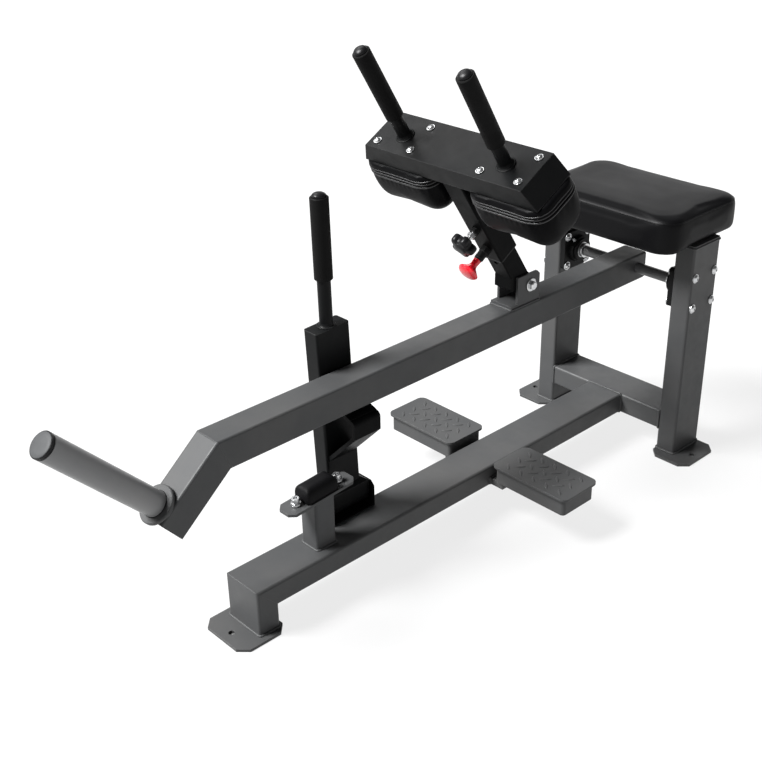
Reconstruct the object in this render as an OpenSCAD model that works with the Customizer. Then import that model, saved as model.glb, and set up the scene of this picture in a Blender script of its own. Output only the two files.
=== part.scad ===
// Seated calf raise machine. Units are millimetres and +Z is up.
// X runs across the machine, +Y runs from the weight horn to the seat.
// The origin lies on the floor, midway between the two rear anchor holes.

/* [Base frame] */
// Width of the base beam's box section
beam_w = 100; // [90:1:120]
// Height of the base beam's box section
beam_h = 50; // [40:1:60]
// Wall of the frame's box sections
tube_wall = 3; // [2:0.5:4]
// Outer corner radius of the frame's box sections
tube_r = 6; // [4:0.5:9]
// Height of the beam's underside above the floor
beam_clear = 58; // [45:1:80]
// Length of the beam from its front face to the rear cross beam
beam_l = 1126; // [1080:1:1200]
// Depth of the short post under the beam's front end
post_d = 50; // [40:1:60]
// Thickness of the foot plates
foot_t = 6; // [4:0.5:10]
// Cut on the corners of the foot plates
foot_cut = 20; // [12:1:26]
// Diameter of the floor anchor holes
anchor_d = 13; // [10:0.5:16]
// Width of the front foot plate
front_foot_w = 132; // [126:1:160]
// Length of the front foot plate ahead of the post
front_foot_ahead = 56; // [50:1:70]
// Length of the front foot plate behind the post
front_foot_behind = 8; // [4:1:14]
// Distance of the front anchor hole ahead of the post
front_anchor_ahead = 32; // [26:1:40]

/* [Legs] */
// Clear gap between the two legs
leg_gap = 324; // [300:1:360]
// Width of a leg across the machine
leg_w = 50; // [40:1:60]
// Depth of a leg along the machine
leg_d = 100; // [90:1:120]
// Height of the top of the legs
leg_top = 532; // [510:1:560]
// Distance from the anchor hole line back to the middle of the legs
leg_back = 19; // [10:1:24]
// Width of a rear foot plate
rear_foot_w = 104; // [98:1:130]
// Length of a rear foot plate
rear_foot_l = 130; // [120:1:150]
// Overhang of a rear foot plate outside its leg
rear_foot_out = 54; // [48:1:70]
// Distance of a rear anchor hole outside its leg
rear_anchor_out = 33; // [26:1:36]

/* [Foot rests] */
// Width of a foot rest across the machine
rest_w = 207; // [190:1:240]
// Depth of a foot rest along the machine
rest_d = 115; // [100:1:130]
// Gap between the beam and the inner edge of a foot rest's tread
rest_gap = 12; // [6:1:24]
// Distance from the rear cross beam forward to the middle of the foot rests
rest_ahead = 427; // [380:1:470]
// Height of the tread surface
rest_top = 122; // [116:1:130]
// Thickness of the tread plate
tread_t = 5; // [4:0.5:7]
// Corner radius of the tread plate
tread_r = 16; // [10:1:22]
// Height of the box under the tread
rest_box_h = 38; // [30:1:42]
// Inset of the box from the tread's edge
rest_inset = 7; // [4:1:10]

/* [Lever] */
// Height of the lever's axle above the floor
axle_z = 422; // [410:1:440]
// Diameter of the axle
axle_d = 25; // [20:1:30]
// Width and height of the lever's square section
lever_w = 65; // [60:1:68]
// Wall of the lever
lever_wall = 3; // [2:0.5:4]
// Outer corner radius of the lever's section
lever_r = 5; // [3:0.5:8]
// Distance from the axle forward to the lever's bend, on its top face
lever_reach = 1220; // [1200:1:1250]
// Length of the lever behind the axle
lever_tail = 25; // [22:1:40]
// Angle of the lever's front part below the level
drop_angle = 40; // [35:1:45]
// Length of the lever's front part, on its top face
drop_l = 174; // [168:1:200]
// Diameter of the weight horn
horn_d = 50; // [48:0.5:50]
// Length of the weight horn above its collar
horn_l = 268; // [200:1:320]
// Distance of the horn from the lever's bend, on the top face
horn_at = 147; // [135:1:150]
// Tilt of the horn ahead of square to the lever's face
horn_tilt = 3.5; // [0:0.5:5]
// Diameter of the horn's collar
collar_d = 76; // [70:1:84]
// Thickness of the horn's collar
collar_t = 10; // [8:1:20]

/* [Axle bearings] */
// Side of the square bearing flange
flange_w = 94; // [90:1:98]
// Spacing of the four flange bolts
flange_pitch = 74; // [70:1:76]
// Thickness of the bearing flange
flange_t = 12; // [9:1:15]
// Height of the bearing housing from the leg
housing_h = 30; // [26:1:36]
// Diameter of the bearing housing's round part
housing_d = 64; // [60:1:68]
// Outer diameter of the bearing's inner ring
ring_d = 38; // [36:0.5:44]
// Diameter of the flange bolts
flange_bolt_d = 10; // [8:1:12]
// Radial clearance of every turning or sliding fit
fit_gap = 0.05; // [0.02:0.01:0.1]

/* [Stop] */
// Side of the square stop post
stop_w = 50; // [44:1:54]
// Distance of the stop post's middle ahead of the axle
stop_ahead = 978; // [965:1:985]
// Height of the rubber bumper's top at its middle
bumper_top = 256; // [240:1:262]
// Height of the rubber bumper
bumper_h = 32; // [26:1:38]
// Length of the rubber bumper
bumper_l = 78; // [70:1:84]
// Width of the rubber bumper
bumper_w = 44; // [40:1:48]
// Length of the bumper's plate
bumper_plate_l = 170; // [156:1:172]
// Spacing of the two bumper bolts
bumper_bolt_pitch = 108; // [104:1:120]
// Slope of the bumper's plate down to the front
plate_slope = 4; // [0:0.5:9]

/* [Safety catch] */
// Width of the catch arm across the machine
catch_w = 40; // [36:1:44]
// Depth of the catch arm along the machine
catch_d = 84; // [70:1:90]
// Gap between the lever's side and the catch arm
catch_gap = 6; // [5:0.5:10]
// Distance of the catch pivot ahead of the axle
catch_ahead = 870; // [868:1:874]
// Height of the catch pivot above the beam's top
catch_pivot_up = 32; // [30:1:38]
// Height of the top of the catch arm
catch_top = 540; // [525:1:560]
// Forward lean of the catch arm
catch_lean = 2.4; // [1.5:0.1:3]
// Diameter of the catch's pivot bolt
pivot_d = 16; // [12:1:20]
// Length of the hook along the lever
hook_l = 68; // [60:1:72]
// Thickness of the hook's plate
hook_t = 8; // [6:0.5:9]
// Height of the hook below the lever's underside
hook_drop = 140; // [125:1:145]
// Length of the catch's handle above the arm
catch_handle_l = 262; // [220:1:300]

/* [Handles and grips] */
// Diameter of the handle tubes
handle_d = 27; // [25:1:30]
// Outer diameter of the rubber grips
grip_d = 36.5; // [32:0.5:38]
// Length of the rubber grips
grip_l = 164; // [130:1:180]
// Length of the two handles on the pad carrier
handle_l = 219; // [200:1:240]
// Spacing of the two handles
handle_pitch = 268; // [240:1:300]

/* [Knee pads] */
// Forward lean of the pad carrier and the knee pads
pad_lean = 29.5; // [28:0.5:31]
// Forward lean of the pad post and its sleeve
post_lean = 33; // [32:0.5:34]
// Width of the pad carrier's top
pan_w = 414; // [390:1:440]
// Depth of the pad carrier
pan_d = 104; // [98:1:116]
// Height of the pad carrier's sides
pan_h = 46; // [40:1:50]
// Flare of the pad carrier's two ends
pan_flare = 24; // [10:1:30]
// Sheet thickness of the pad carrier
pan_t = 3; // [2:0.5:4]
// Distance from the pad carrier's middle forward to the post's axis, at the carrier's top
post_ahead = 19; // [14:1:20]
// Length of a knee pad
knee_w = 192; // [180:1:196]
// Depth of a knee pad
knee_d = 124; // [112:1:130]
// Height of a knee pad
knee_h = 112; // [80:1:120]
// Corner radius of a knee pad
knee_r = 34; // [24:1:40]
// Gap between the two knee pads
knee_gap = 88; // [80:1:100]
// Side of the square pad post
pad_post_w = 46; // [44:0.5:47]
// Side of the square sleeve that slides on the pad post
sleeve_w = 54; // [54:0.5:56]
// Wall of the sleeve and the pad post
sleeve_wall = 2.5; // [2:0.5:2.5]
// Length of the sleeve below the pad carrier's top
sleeve_l = 284; // [278:1:290]
// Spacing of the height holes in the pad post
hole_pitch = 25; // [22:1:30]
// Diameter of the height holes
hole_d = 10.5; // [9:0.5:11]

/* [Clevis] */
// Distance of the clevis bolt ahead of the axle
clevis_ahead = 385; // [380:1:388]
// Height of the clevis bolt above the lever
clevis_bolt_up = 42; // [40:1:46]
// Thickness of the clevis's base
clevis_base_t = 8; // [6:1:10]
// Thickness of the clevis's two ears
clevis_ear_t = 6; // [4:0.5:7]
// Height of the ears above the lever
clevis_h = 69; // [64:1:76]
// Diameter of the clevis bolt
clevis_bolt_d = 12; // [10:1:14]

/* [Seat] */
// Width of the seat
seat_w = 420; // [400:1:460]
// Depth of the seat
seat_d = 290; // [270:1:320]
// Thickness of the seat pad
seat_h = 66; // [50:1:76]
// Corner radius of the seat
seat_r = 50; // [42:1:64]
// Thickness of the seat's board
board_t = 15; // [12:1:18]
// Thickness of the plates between the legs and the seat
seat_plate_t = 5; // [4:0.5:8]

/* [Hidden] */
$fn = 64;
seat_gap = 0.3;
soft_gap = 0.3;
far = 2000;

beam_top = beam_clear + beam_h;
leg_in = leg_gap / 2;
leg_out = leg_in + leg_w;
leg_front = leg_back - leg_d / 2;
cross_front = leg_front;
beam_front = cross_front - beam_l;
axle_y = leg_back;
anchor_x = leg_out + rear_anchor_out;
front_anchor_y = beam_front - front_anchor_ahead;

rest_y = cross_front - rest_ahead;
rest_in = beam_w / 2 + rest_gap;
rest_box_top = rest_top - tread_t;
rest_box_bottom = rest_box_top - rest_box_h;
rest_arm_l = 38;
rest_arm_d = rest_d - 2 * rest_inset - 8;
rest_arm_drop = 15;

lever_top = axle_z + lever_w / 2;
lever_bottom = axle_z - lever_w / 2;
bend_y = axle_y - lever_reach;
end_plate_t = 4;

stop_y = axle_y - stop_ahead;
bumper_plate_t = 6;
plate_mid_z = bumper_top - bumper_h / cos(plate_slope);
bumper_bolt_d = 10;

catch_x = -lever_w / 2 - catch_gap - catch_w / 2;
catch_y = axle_y - catch_ahead;
catch_z = beam_top + catch_pivot_up;
catch_face = catch_x + catch_w / 2;
hub_side = 9;
hub_w = catch_w + 2 * hub_side;
hub_l = catch_d + 27;
hub_h = 66;
ear_gap = 1;
ear_t = 6;
ear_h = catch_pivot_up + 25;
ear_w = hub_w + 20;
arm_from = hub_h - hub_w / 2 - 1;
arm_l = (catch_top - catch_z) / cos(catch_lean);
arm_cap_t = 3;
catch_handle_back = 1.4;
// The hook's top is an arc round the pivot, so it swings out under the resting lever
hook_r = norm([catch_gap + catch_w / 2, lever_bottom - catch_z]) - seat_gap;
hook_in_x = catch_face;
hook_out_x = lever_w / 2 + 11;
hook_low_z = lever_bottom - hook_drop;
hook_y = catch_y - (lever_bottom - hook_drop / 2 - catch_z) * tan(catch_lean) - hook_l / 2;

column_z = 837;
sleeve_in = sleeve_w - 2 * sleeve_wall;
liner_h = 60;
liner_rim = 3;
clamp_down = 191;
pin_down = clamp_down + 60;
pin_d = 10;
knob_stem_d = 17;
barrel_l = 32;
clamp_out = 28;
clamp_screw_d = 10;
clevis_y = axle_y - clevis_ahead;
ears_top = lever_top + clevis_h;
// The post's axis passes this far ahead of the clevis bolt at the height of the ears' top
post_foot_ahead = 29.3;
post_z = column_z - post_ahead * sin(pad_lean);
post_y = clevis_y - post_foot_ahead - (post_z - ears_top) * tan(post_lean);
column_y = post_y + post_ahead * cos(pad_lean);
// The post's upper end stays below the pad carrier when the pads are lowered
post_top = 60;
post_bore = (post_z - ears_top - 14) / cos(post_lean);
clevis_front = clevis_y - 62;
clevis_back = clevis_y + 28;
ear_front = clevis_y - 42;
clevis_top = lever_top + clevis_base_t;
knee_x = knee_gap / 2 + knee_w / 2;
knee_board_t = 12;
handle_ahead = 2;
knee_bolt_d = 8;
knee_bolt_pitch_x = 94;
knee_bolt_pitch_y = 66;

seat_plate_in = 42;
board_z = leg_top + seat_plate_t;
seat_bolt_d = 8;
seat_bolt_pitch = 62;

frame_grey = [0.36, 0.37, 0.38];
satin_black = [0.12, 0.12, 0.12];
vinyl_black = [0.07, 0.07, 0.08];
rubber_black = [0.05, 0.05, 0.05];
zinc = [0.75, 0.76, 0.78];
knob_red = [0.78, 0.08, 0.12];

// Rectangle with four round corners, about its own middle
module round_rect(w, h, r) {
    square([w - 2 * r, h], center = true);
    square([w, h - 2 * r], center = true);
    for (x = [-1, 1], y = [-1, 1])
        translate([x * (w / 2 - r), y * (h / 2 - r)])
            circle(r);
}

// Wall of a box section
module box_ring(w, h, r, wall) {
    difference() {
        round_rect(w, h, r);
        round_rect(w - 2 * wall, h - 2 * wall, max(r - wall, 0.5));
    }
}

// Stands a drawing of width and height upright and gives it a length along Y
module along_y(from, length) {
    translate([0, from + length, 0])
        rotate([90, 0, 0])
            linear_extrude(length)
                children();
}

// Turns a drawing of length and height to face X and gives it a width along X
module along_x(from, width) {
    translate([from, 0, 0])
        rotate([90, 0, 90])
            linear_extrude(width)
                children();
}

// Round bar along X
module bar_x(from, length, d) {
    translate([from, 0, 0])
        rotate([0, 90, 0])
            cylinder(d = d, h = length);
}

// Washer and domed head that sit on the plane z = 0
module domed_head(d) {
    cylinder(d = 2.1 * d, h = 0.16 * d);
    translate([0, 0, 0.16 * d])
        difference() {
            intersection() {
                cylinder(d = 1.8 * d, h = 0.55 * d);
                translate([0, 0, -0.55 * d])
                    sphere(r = 1.1 * d);
            }
            translate([0, 0, 0.2 * d])
                cylinder(d = 0.6 * d, h = d, $fn = 6);
        }
}

// Foot plate with its corners cut off, on the floor
module foot_plate(w, l) {
    linear_extrude(foot_t)
        polygon([[-w / 2 + foot_cut, -l / 2], [w / 2 - foot_cut, -l / 2], [w / 2, -l / 2 + foot_cut],
            [w / 2, l / 2 - foot_cut], [w / 2 - foot_cut, l / 2], [-w / 2 + foot_cut, l / 2],
            [-w / 2, l / 2 - foot_cut], [-w / 2, -l / 2 + foot_cut]]);
}

module base_beam() {
    color(frame_grey)
        intersection() {
            translate([0, 0, beam_clear + beam_h / 2])
                along_y(beam_front, beam_l)
                    box_ring(beam_w, beam_h, tube_r, tube_wall);
            along_x(-beam_w, 2 * beam_w)
                polygon([[beam_front, beam_top], [cross_front, beam_top],
                    [cross_front, beam_clear], [beam_front + post_d, beam_clear]]);
        }
}

module front_post() {
    color(frame_grey)
        intersection() {
            translate([0, beam_front + post_d / 2, foot_t])
                linear_extrude(beam_top - foot_t)
                    box_ring(beam_w, post_d, tube_r, tube_wall);
            along_x(-beam_w, 2 * beam_w)
                polygon([[beam_front, beam_top], [beam_front + post_d, beam_clear],
                    [beam_front + post_d, foot_t], [beam_front, foot_t]]);
        }
}

module front_foot_plate() {
    l = front_foot_ahead + post_d + front_foot_behind;
    color(frame_grey)
        difference() {
            translate([0, beam_front - front_foot_ahead + l / 2, 0])
                foot_plate(front_foot_w, l);
            translate([0, front_anchor_y, -1])
                cylinder(d = anchor_d, h = foot_t + 2);
        }
}

module rear_cross_beam() {
    color(frame_grey)
        translate([0, leg_back, beam_clear + beam_h / 2])
            along_x(-leg_in, leg_gap)
                box_ring(leg_d, beam_h, tube_r, tube_wall);
}

// Leg, drilled for the four bolts of its bearing; side is -1 for left and 1 for right
module leg(side) {
    color(frame_grey)
        difference() {
            translate([side * (leg_in + leg_w / 2), leg_back, foot_t])
                linear_extrude(leg_top - foot_t)
                    box_ring(leg_w, leg_d, tube_r, tube_wall);
            for (y = [-1, 1], z = [-1, 1])
                translate([0, axle_y + y * flange_pitch / 2, axle_z + z * flange_pitch / 2])
                    bar_x(side > 0 ? leg_in - 1 : -leg_out - 1, leg_w + 2, flange_bolt_d + 0.4);
        }
}

module left_leg() {
    leg(-1);
}

module right_leg() {
    leg(1);
}

module rear_foot_plate(side) {
    color(frame_grey)
        difference() {
            translate([side * (leg_out + rear_foot_out - rear_foot_w / 2),
                leg_back + leg_d / 2 - rear_foot_l / 2, 0])
                foot_plate(rear_foot_w, rear_foot_l);
            translate([side * anchor_x, 0, -1])
                cylinder(d = anchor_d, h = foot_t + 2);
        }
}

module left_foot_plate() {
    rear_foot_plate(-1);
}

module right_foot_plate() {
    rear_foot_plate(1);
}

// Short arm from the beam's side that carries a foot rest
module rest_arm(side) {
    color(frame_grey)
        translate([side * (beam_w / 2 + rest_arm_l / 2), rest_y, rest_box_bottom - rest_arm_drop / 2])
            cube([rest_arm_l, rest_arm_d, rest_arm_drop], center = true);
}

module left_rest_arm() {
    rest_arm(-1);
}

module right_rest_arm() {
    rest_arm(1);
}

// Folded box under a tread plate, closed below
module rest_box(side) {
    w = rest_w - 2 * rest_inset;
    d = rest_d - 2 * rest_inset;
    r = tread_r - rest_inset;
    color(frame_grey)
        translate([side * (rest_in + rest_w / 2), rest_y, rest_box_bottom])
            difference() {
                linear_extrude(rest_box_h)
                    round_rect(w, d, r);
                translate([0, 0, tube_wall])
                    linear_extrude(rest_box_h)
                        round_rect(w - 2 * tube_wall, d - 2 * tube_wall, r - tube_wall);
            }
}

module left_rest_box() {
    rest_box(-1);
}

module right_rest_box() {
    rest_box(1);
}

module tread_plate(side) {
    color(frame_grey)
        translate([side * (rest_in + rest_w / 2), rest_y, rest_box_top])
            linear_extrude(tread_t)
                round_rect(rest_w, rest_d, tread_r);
}

module left_tread_plate() {
    tread_plate(-1);
}

module right_tread_plate() {
    tread_plate(1);
}

// Places children on the sloping top of the stop, with +Z square to the lowered lever
module on_stop() {
    translate([0, stop_y, plate_mid_z])
        rotate([plate_slope, 0, 0])
            children();
}

module stop_post() {
    color(frame_grey)
        difference() {
            translate([0, stop_y, beam_top])
                linear_extrude(bumper_top - beam_top)
                    box_ring(stop_w, stop_w, tube_r, tube_wall);
            on_stop()
                translate([-far / 2, -far / 2, -bumper_plate_t])
                    cube(far);
        }
}

module bumper_plate() {
    cut = 12;
    l = bumper_plate_l;
    w = stop_w;
    color(frame_grey)
        on_stop()
            translate([0, 0, -bumper_plate_t])
                difference() {
                    linear_extrude(bumper_plate_t)
                        polygon([[-w / 2 + cut, -l / 2], [w / 2 - cut, -l / 2], [w / 2, -l / 2 + cut],
                            [w / 2, l / 2 - cut], [w / 2 - cut, l / 2], [-w / 2 + cut, l / 2],
                            [-w / 2, l / 2 - cut], [-w / 2, -l / 2 + cut]]);
                    for (y = [-1, 1])
                        translate([0, y * bumper_bolt_pitch / 2, -1])
                            cylinder(d = bumper_bolt_d + 0.5, h = bumper_plate_t + 2);
                }
}

// Rubber block with rounded upper edges and two low fixing toes
module bumper_block() {
    r = 9;
    toe_l = bumper_bolt_pitch + 24;
    toe_h = 5;
    color(rubber_black)
        on_stop()
            translate([0, 0, seat_gap])
                intersection() {
                    difference() {
                        union() {
                            along_x(-bumper_w / 2, bumper_w)
                                translate([0, (bumper_h - r) / 2])
                                    square([bumper_l, bumper_h - r], center = true);
                            along_x(-bumper_w / 2, bumper_w)
                                translate([0, bumper_h / 2])
                                    round_rect(bumper_l, bumper_h, r);
                            translate([0, 0, toe_h / 2])
                                cube([bumper_w - 8, toe_l, toe_h], center = true);
                        }
                        for (y = [-1, 1])
                            translate([0, y * bumper_bolt_pitch / 2, -1])
                                cylinder(d = bumper_bolt_d + 0.5, h = toe_h + 2);
                    }
                    union() {
                        along_y(-toe_l, 2 * toe_l)
                            translate([0, bumper_h / 2])
                                round_rect(bumper_w, bumper_h, r);
                        translate([0, 0, (bumper_h - r) / 2])
                            cube([bumper_w, 2 * toe_l, bumper_h - r], center = true);
                    }
                }
}

// Two socket screws with washers and nuts
module bumper_bolts() {
    under = bumper_plate_t + seat_gap;
    toe_h = 5;
    color(zinc)
        for (y = [-1, 1])
            on_stop()
                translate([0, y * bumper_bolt_pitch / 2, seat_gap + toe_h]) {
                    translate([0, 0, seat_gap])
                        cylinder(d = 2 * bumper_bolt_d, h = 2);
                    translate([0, 0, seat_gap + 2])
                        difference() {
                            cylinder(d = 1.6 * bumper_bolt_d, h = bumper_bolt_d);
                            translate([0, 0, 0.45 * bumper_bolt_d])
                                cylinder(d = 0.85 * bumper_bolt_d, h = bumper_bolt_d, $fn = 6);
                        }
                    translate([0, 0, -toe_h - under - 0.8 * bumper_bolt_d - 2])
                        cylinder(d = bumper_bolt_d, h = toe_h + under + 0.8 * bumper_bolt_d + 3);
                    translate([0, 0, -toe_h - under - 0.8 * bumper_bolt_d - seat_gap])
                        cylinder(d = 1.8 * bumper_bolt_d, h = 0.8 * bumper_bolt_d, $fn = 6);
                }
}

// Places children at the catch's pivot, upright
module at_catch() {
    translate([catch_x, catch_y, catch_z])
        children();
}

// Places children at the catch's pivot, leaning with the arm
module on_catch() {
    at_catch()
        rotate([catch_lean, 0, 0])
            children();
}

// Base strip and two ears with cut corners that hold the catch's pivot bolt
module catch_bracket() {
    base_t = 2.5;
    cut = 10;
    up = ear_h - catch_pivot_up;
    ear_at = hub_l / 2 + ear_gap;
    color(satin_black)
        at_catch() {
            for (y = [-ear_at - ear_t, ear_at])
                difference() {
                    along_y(y, ear_t)
                        polygon([[-ear_w / 2, -catch_pivot_up], [ear_w / 2, -catch_pivot_up],
                            [ear_w / 2, up - cut], [ear_w / 2 - cut, up], [-ear_w / 2 + cut, up],
                            [-ear_w / 2, up - cut]]);
                    along_y(y - 1, ear_t + 2)
                        circle(d = pivot_d + 0.2);
                }
            translate([-ear_w / 2, -ear_at - ear_t / 2, -catch_pivot_up])
                cube([ear_w, 2 * ear_at + ear_t, base_t]);
        }
}

// Shouldered bolt through both ears, with its nut
module catch_pivot_bolt() {
    out = hub_l / 2 + ear_gap + ear_t + seat_gap;
    color(zinc)
        at_catch() {
            along_y(-out - 5, 2 * out + 14)
                circle(d = pivot_d);
            along_y(-out - 10, 10)
                circle(d = 1.6 * pivot_d, $fn = 6);
            along_y(out, 9)
                circle(d = 1.6 * pivot_d, $fn = 6);
        }
}

// Rounded hub that turns on the pivot bolt
module catch_hub() {
    color(satin_black)
        at_catch()
            difference() {
                union() {
                    along_y(-hub_l / 2, hub_l)
                        circle(d = hub_w);
                    along_y(-hub_l / 2, hub_l)
                        translate([-hub_w / 2, 0])
                            square([hub_w, hub_h - hub_w / 2 - hub_side]);
                    translate([0, 0, hub_h - hub_w / 2 - hub_side])
                        intersection() {
                            along_y(-hub_l / 2, hub_l)
                                polygon([[-hub_w / 2, 0], [hub_w / 2, 0], [catch_w / 2, hub_side],
                                    [-catch_w / 2, hub_side]]);
                            along_x(-hub_w / 2, hub_w)
                                polygon([[-hub_l / 2, 0], [hub_l / 2, 0], [catch_d / 2 + 2, hub_side],
                                    [-catch_d / 2 - 2, hub_side]]);
                        }
                }
                along_y(-hub_l / 2 - 1, hub_l + 2)
                    circle(d = pivot_d + 2 * fit_gap);
            }
}

// Upright box section of the catch, closed on top
module catch_arm() {
    color(satin_black)
        difference() {
            on_catch() {
                translate([0, 0, arm_from - 4])
                    linear_extrude(arm_l - arm_from + 4 - arm_cap_t)
                        box_ring(catch_w, catch_d, tube_r - 1, tube_wall);
                translate([0, 0, arm_l - arm_cap_t])
                    linear_extrude(arm_cap_t)
                        round_rect(catch_w, catch_d, tube_r - 1);
            }
            at_catch()
                translate([-catch_w, -catch_d, -catch_d])
                    cube([2 * catch_w, 2 * catch_d, catch_d + hub_h - hub_w / 2]);
        }
}

// Drawing of the hook's outer face: a slope, an upright and a rounded top
module hook_shape(inset) {
    r = 12;
    x1 = hook_out_x - catch_x - inset;
    knee_z = hook_low_z - catch_z + (hook_out_x - hook_in_x) + 2;
    difference() {
        intersection() {
            circle(r = hook_r - inset, $fn = 180);
            polygon([[hook_in_x - catch_x, hook_low_z - catch_z + inset * 1.42],
                [x1, knee_z + inset * 0.42], [x1, hook_r], [hook_in_x - catch_x, hook_r]]);
        }
        translate([x1 - r, sqrt(pow(hook_r - inset - r, 2) - pow(x1 - r, 2))])
            difference() {
                square(2 * r);
                circle(r);
            }
    }
}

// Folded plate that reaches under the lever from the catch arm
module catch_hook() {
    color(satin_black)
        translate([catch_x, 0, catch_z])
            along_y(hook_y, hook_l)
                difference() {
                    hook_shape(0);
                    difference() {
                        hook_shape(hook_t);
                        translate([hook_in_x - catch_x - far, -far / 2])
                            square([far, far]);
                    }
                }
}

// Tube of a handle, from z = 0 up
module handle_tube(l) {
    color(satin_black)
        difference() {
            union() {
                cylinder(d = handle_d, h = l);
                rotate_extrude()
                    polygon([[0, 0], [handle_d / 2 + 5, 0], [handle_d / 2 + 4, 2],
                        [handle_d / 2 + 1.5, 4], [handle_d / 2, 8], [0, 8]]);
            }
            translate([0, 0, 10])
                cylinder(d = handle_d - 5, h = l);
        }
}

// Rubber grip over the end of a handle of length l
module grip(l) {
    color(rubber_black)
        translate([0, 0, l - grip_l])
            rotate_extrude()
                polygon([[handle_d / 2 + 0.1, 0], [grip_d / 2 - 1.5, 0], [grip_d / 2, 1.5],
                    [grip_d / 2, grip_l - 1.5], [grip_d / 2 - 1.5, grip_l], [handle_d / 2 + 0.1, grip_l]]);
}

// Domed plug in the end of a handle of length l
module plug(l) {
    color(satin_black)
        translate([0, 0, l])
            rotate_extrude()
                polygon(concat([[0, -14], [handle_d / 2 - 2.6, -14], [handle_d / 2 - 2.6, seat_gap],
                    [handle_d / 2 + 0.5, seat_gap]],
                    [for (a = [0:10:90]) [(handle_d / 2 + 0.5) * cos(a), seat_gap + 1.5 + 7 * sin(a)]]));
}

// Places children on top of the catch arm, where the handle stands nearly upright
module on_catch_top() {
    on_catch()
        translate([0, 0, arm_l - 1])
            rotate([-catch_handle_back, 0, 0])
                children();
}

module catch_handle() {
    on_catch_top()
        handle_tube(catch_handle_l);
}

module catch_grip() {
    on_catch_top()
        grip(catch_handle_l);
}

module catch_plug() {
    on_catch_top()
        plug(catch_handle_l);
}

// Square four-bolt flange with a raised round housing, on the inner face of a leg
module bearing_housing(side) {
    color(satin_black)
        translate([side * leg_in, axle_y, axle_z])
            rotate([0, -side * 90, 0])
                difference() {
                    union() {
                        linear_extrude(flange_t)
                            round_rect(flange_w, flange_w, (flange_w - flange_pitch) / 2);
                        cylinder(d1 = housing_d + 6, d2 = housing_d, h = housing_h - 6);
                        cylinder(d = housing_d - 8, h = housing_h);
                    }
                    translate([0, 0, -1])
                        cylinder(d = ring_d + 2 * fit_gap, h = housing_h + 2);
                    for (x = [-1, 1], y = [-1, 1])
                        translate([x * flange_pitch / 2, y * flange_pitch / 2, -1])
                            cylinder(d = flange_bolt_d + 0.4, h = flange_t + 2);
                }
}

module left_bearing_housing() {
    bearing_housing(-1);
}

module right_bearing_housing() {
    bearing_housing(1);
}

// Eight bolts through the flanges and legs, domed on both ends
module bearing_bolts() {
    color(zinc)
        for (side = [-1, 1], y = [-1, 1], z = [-1, 1])
            translate([side * leg_in, axle_y + y * flange_pitch / 2, axle_z + z * flange_pitch / 2])
                rotate([0, side * 90, 0]) {
                    translate([0, 0, -flange_t - seat_gap - 1])
                        cylinder(d = flange_bolt_d, h = flange_t + leg_w + 2 * seat_gap + 2);
                    translate([0, 0, leg_w + seat_gap])
                        domed_head(flange_bolt_d);
                    translate([0, 0, -flange_t - seat_gap])
                        mirror([0, 0, 1])
                            domed_head(flange_bolt_d);
                }
}

// Places children at one of the four seat bolts, at height z
module seat_bolt_place(side, y, z) {
    translate([side * (leg_in - seat_plate_in / 2), leg_back + y * seat_bolt_pitch / 2, z])
        children();
}

// Plate on a leg's top that reaches inward under the seat board
module seat_plate(side) {
    color(frame_grey)
        difference() {
            translate([side * (leg_out - (leg_w + seat_plate_in) / 2), leg_back, leg_top])
                linear_extrude(seat_plate_t)
                    round_rect(leg_w + seat_plate_in, leg_d, tube_r);
            for (y = [-1, 1])
                seat_bolt_place(side, y, leg_top - 1)
                    cylinder(d = seat_bolt_d + 0.5, h = seat_plate_t + 2);
        }
}

module left_seat_plate() {
    seat_plate(-1);
}

module right_seat_plate() {
    seat_plate(1);
}

module seat_board() {
    color(rubber_black)
        difference() {
            translate([0, leg_back, board_z])
                linear_extrude(board_t)
                    round_rect(seat_w - 40, seat_d - 40, seat_r - 20);
            for (side = [-1, 1], y = [-1, 1])
                seat_bolt_place(side, y, board_z - 1)
                    cylinder(d = seat_bolt_d + 0.2, h = board_t - 2);
        }
}

// Four bolts up through the seat plates into the board
module seat_bolts() {
    color(zinc)
        for (side = [-1, 1], y = [-1, 1])
            seat_bolt_place(side, y, leg_top - seat_gap) {
                mirror([0, 0, 1])
                    domed_head(seat_bolt_d);
                translate([0, 0, -1])
                    cylinder(d = seat_bolt_d, h = seat_plate_t + board_t - 3);
            }
}

// Points on each corner and on each side of a cushion's outline
corner_steps = 6;
side_steps = 6;
outline_points = 4 * (corner_steps + side_steps);

// Outline of a cushion whose sides draw in by pull between the corners
function cushion_outline(w, d, r, pull) = [
    for (c = [0:3])
        let (
            sx = c == 0 || c == 3 ? 1 : -1,
            sy = c < 2 ? 1 : -1,
            nx = c < 1 || c > 2 ? -1 : 1,
            here = [sx * (w / 2 - r), sy * (d / 2 - r)] + r * [cos(90 * c + 90), sin(90 * c + 90)],
            next = [(c == 3 || c == 2 ? 1 : -1) * (w / 2 - r), (c == 0 || c == 3 ? 1 : -1) * (d / 2 - r)]
                + r * [cos(90 * c + 90), sin(90 * c + 90)],
            inward = -[cos(90 * c + 90), sin(90 * c + 90)]
        )
        each concat(
            [for (j = [0:corner_steps])
                let (a = 90 * (c + j / corner_steps))
                [sx * (w / 2 - r) + r * cos(a), sy * (d / 2 - r) + r * sin(a)]],
            [for (k = [1:side_steps - 1])
                here + (next - here) * k / side_steps + inward * pull * sin(180 * k / side_steps)])
];

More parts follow.
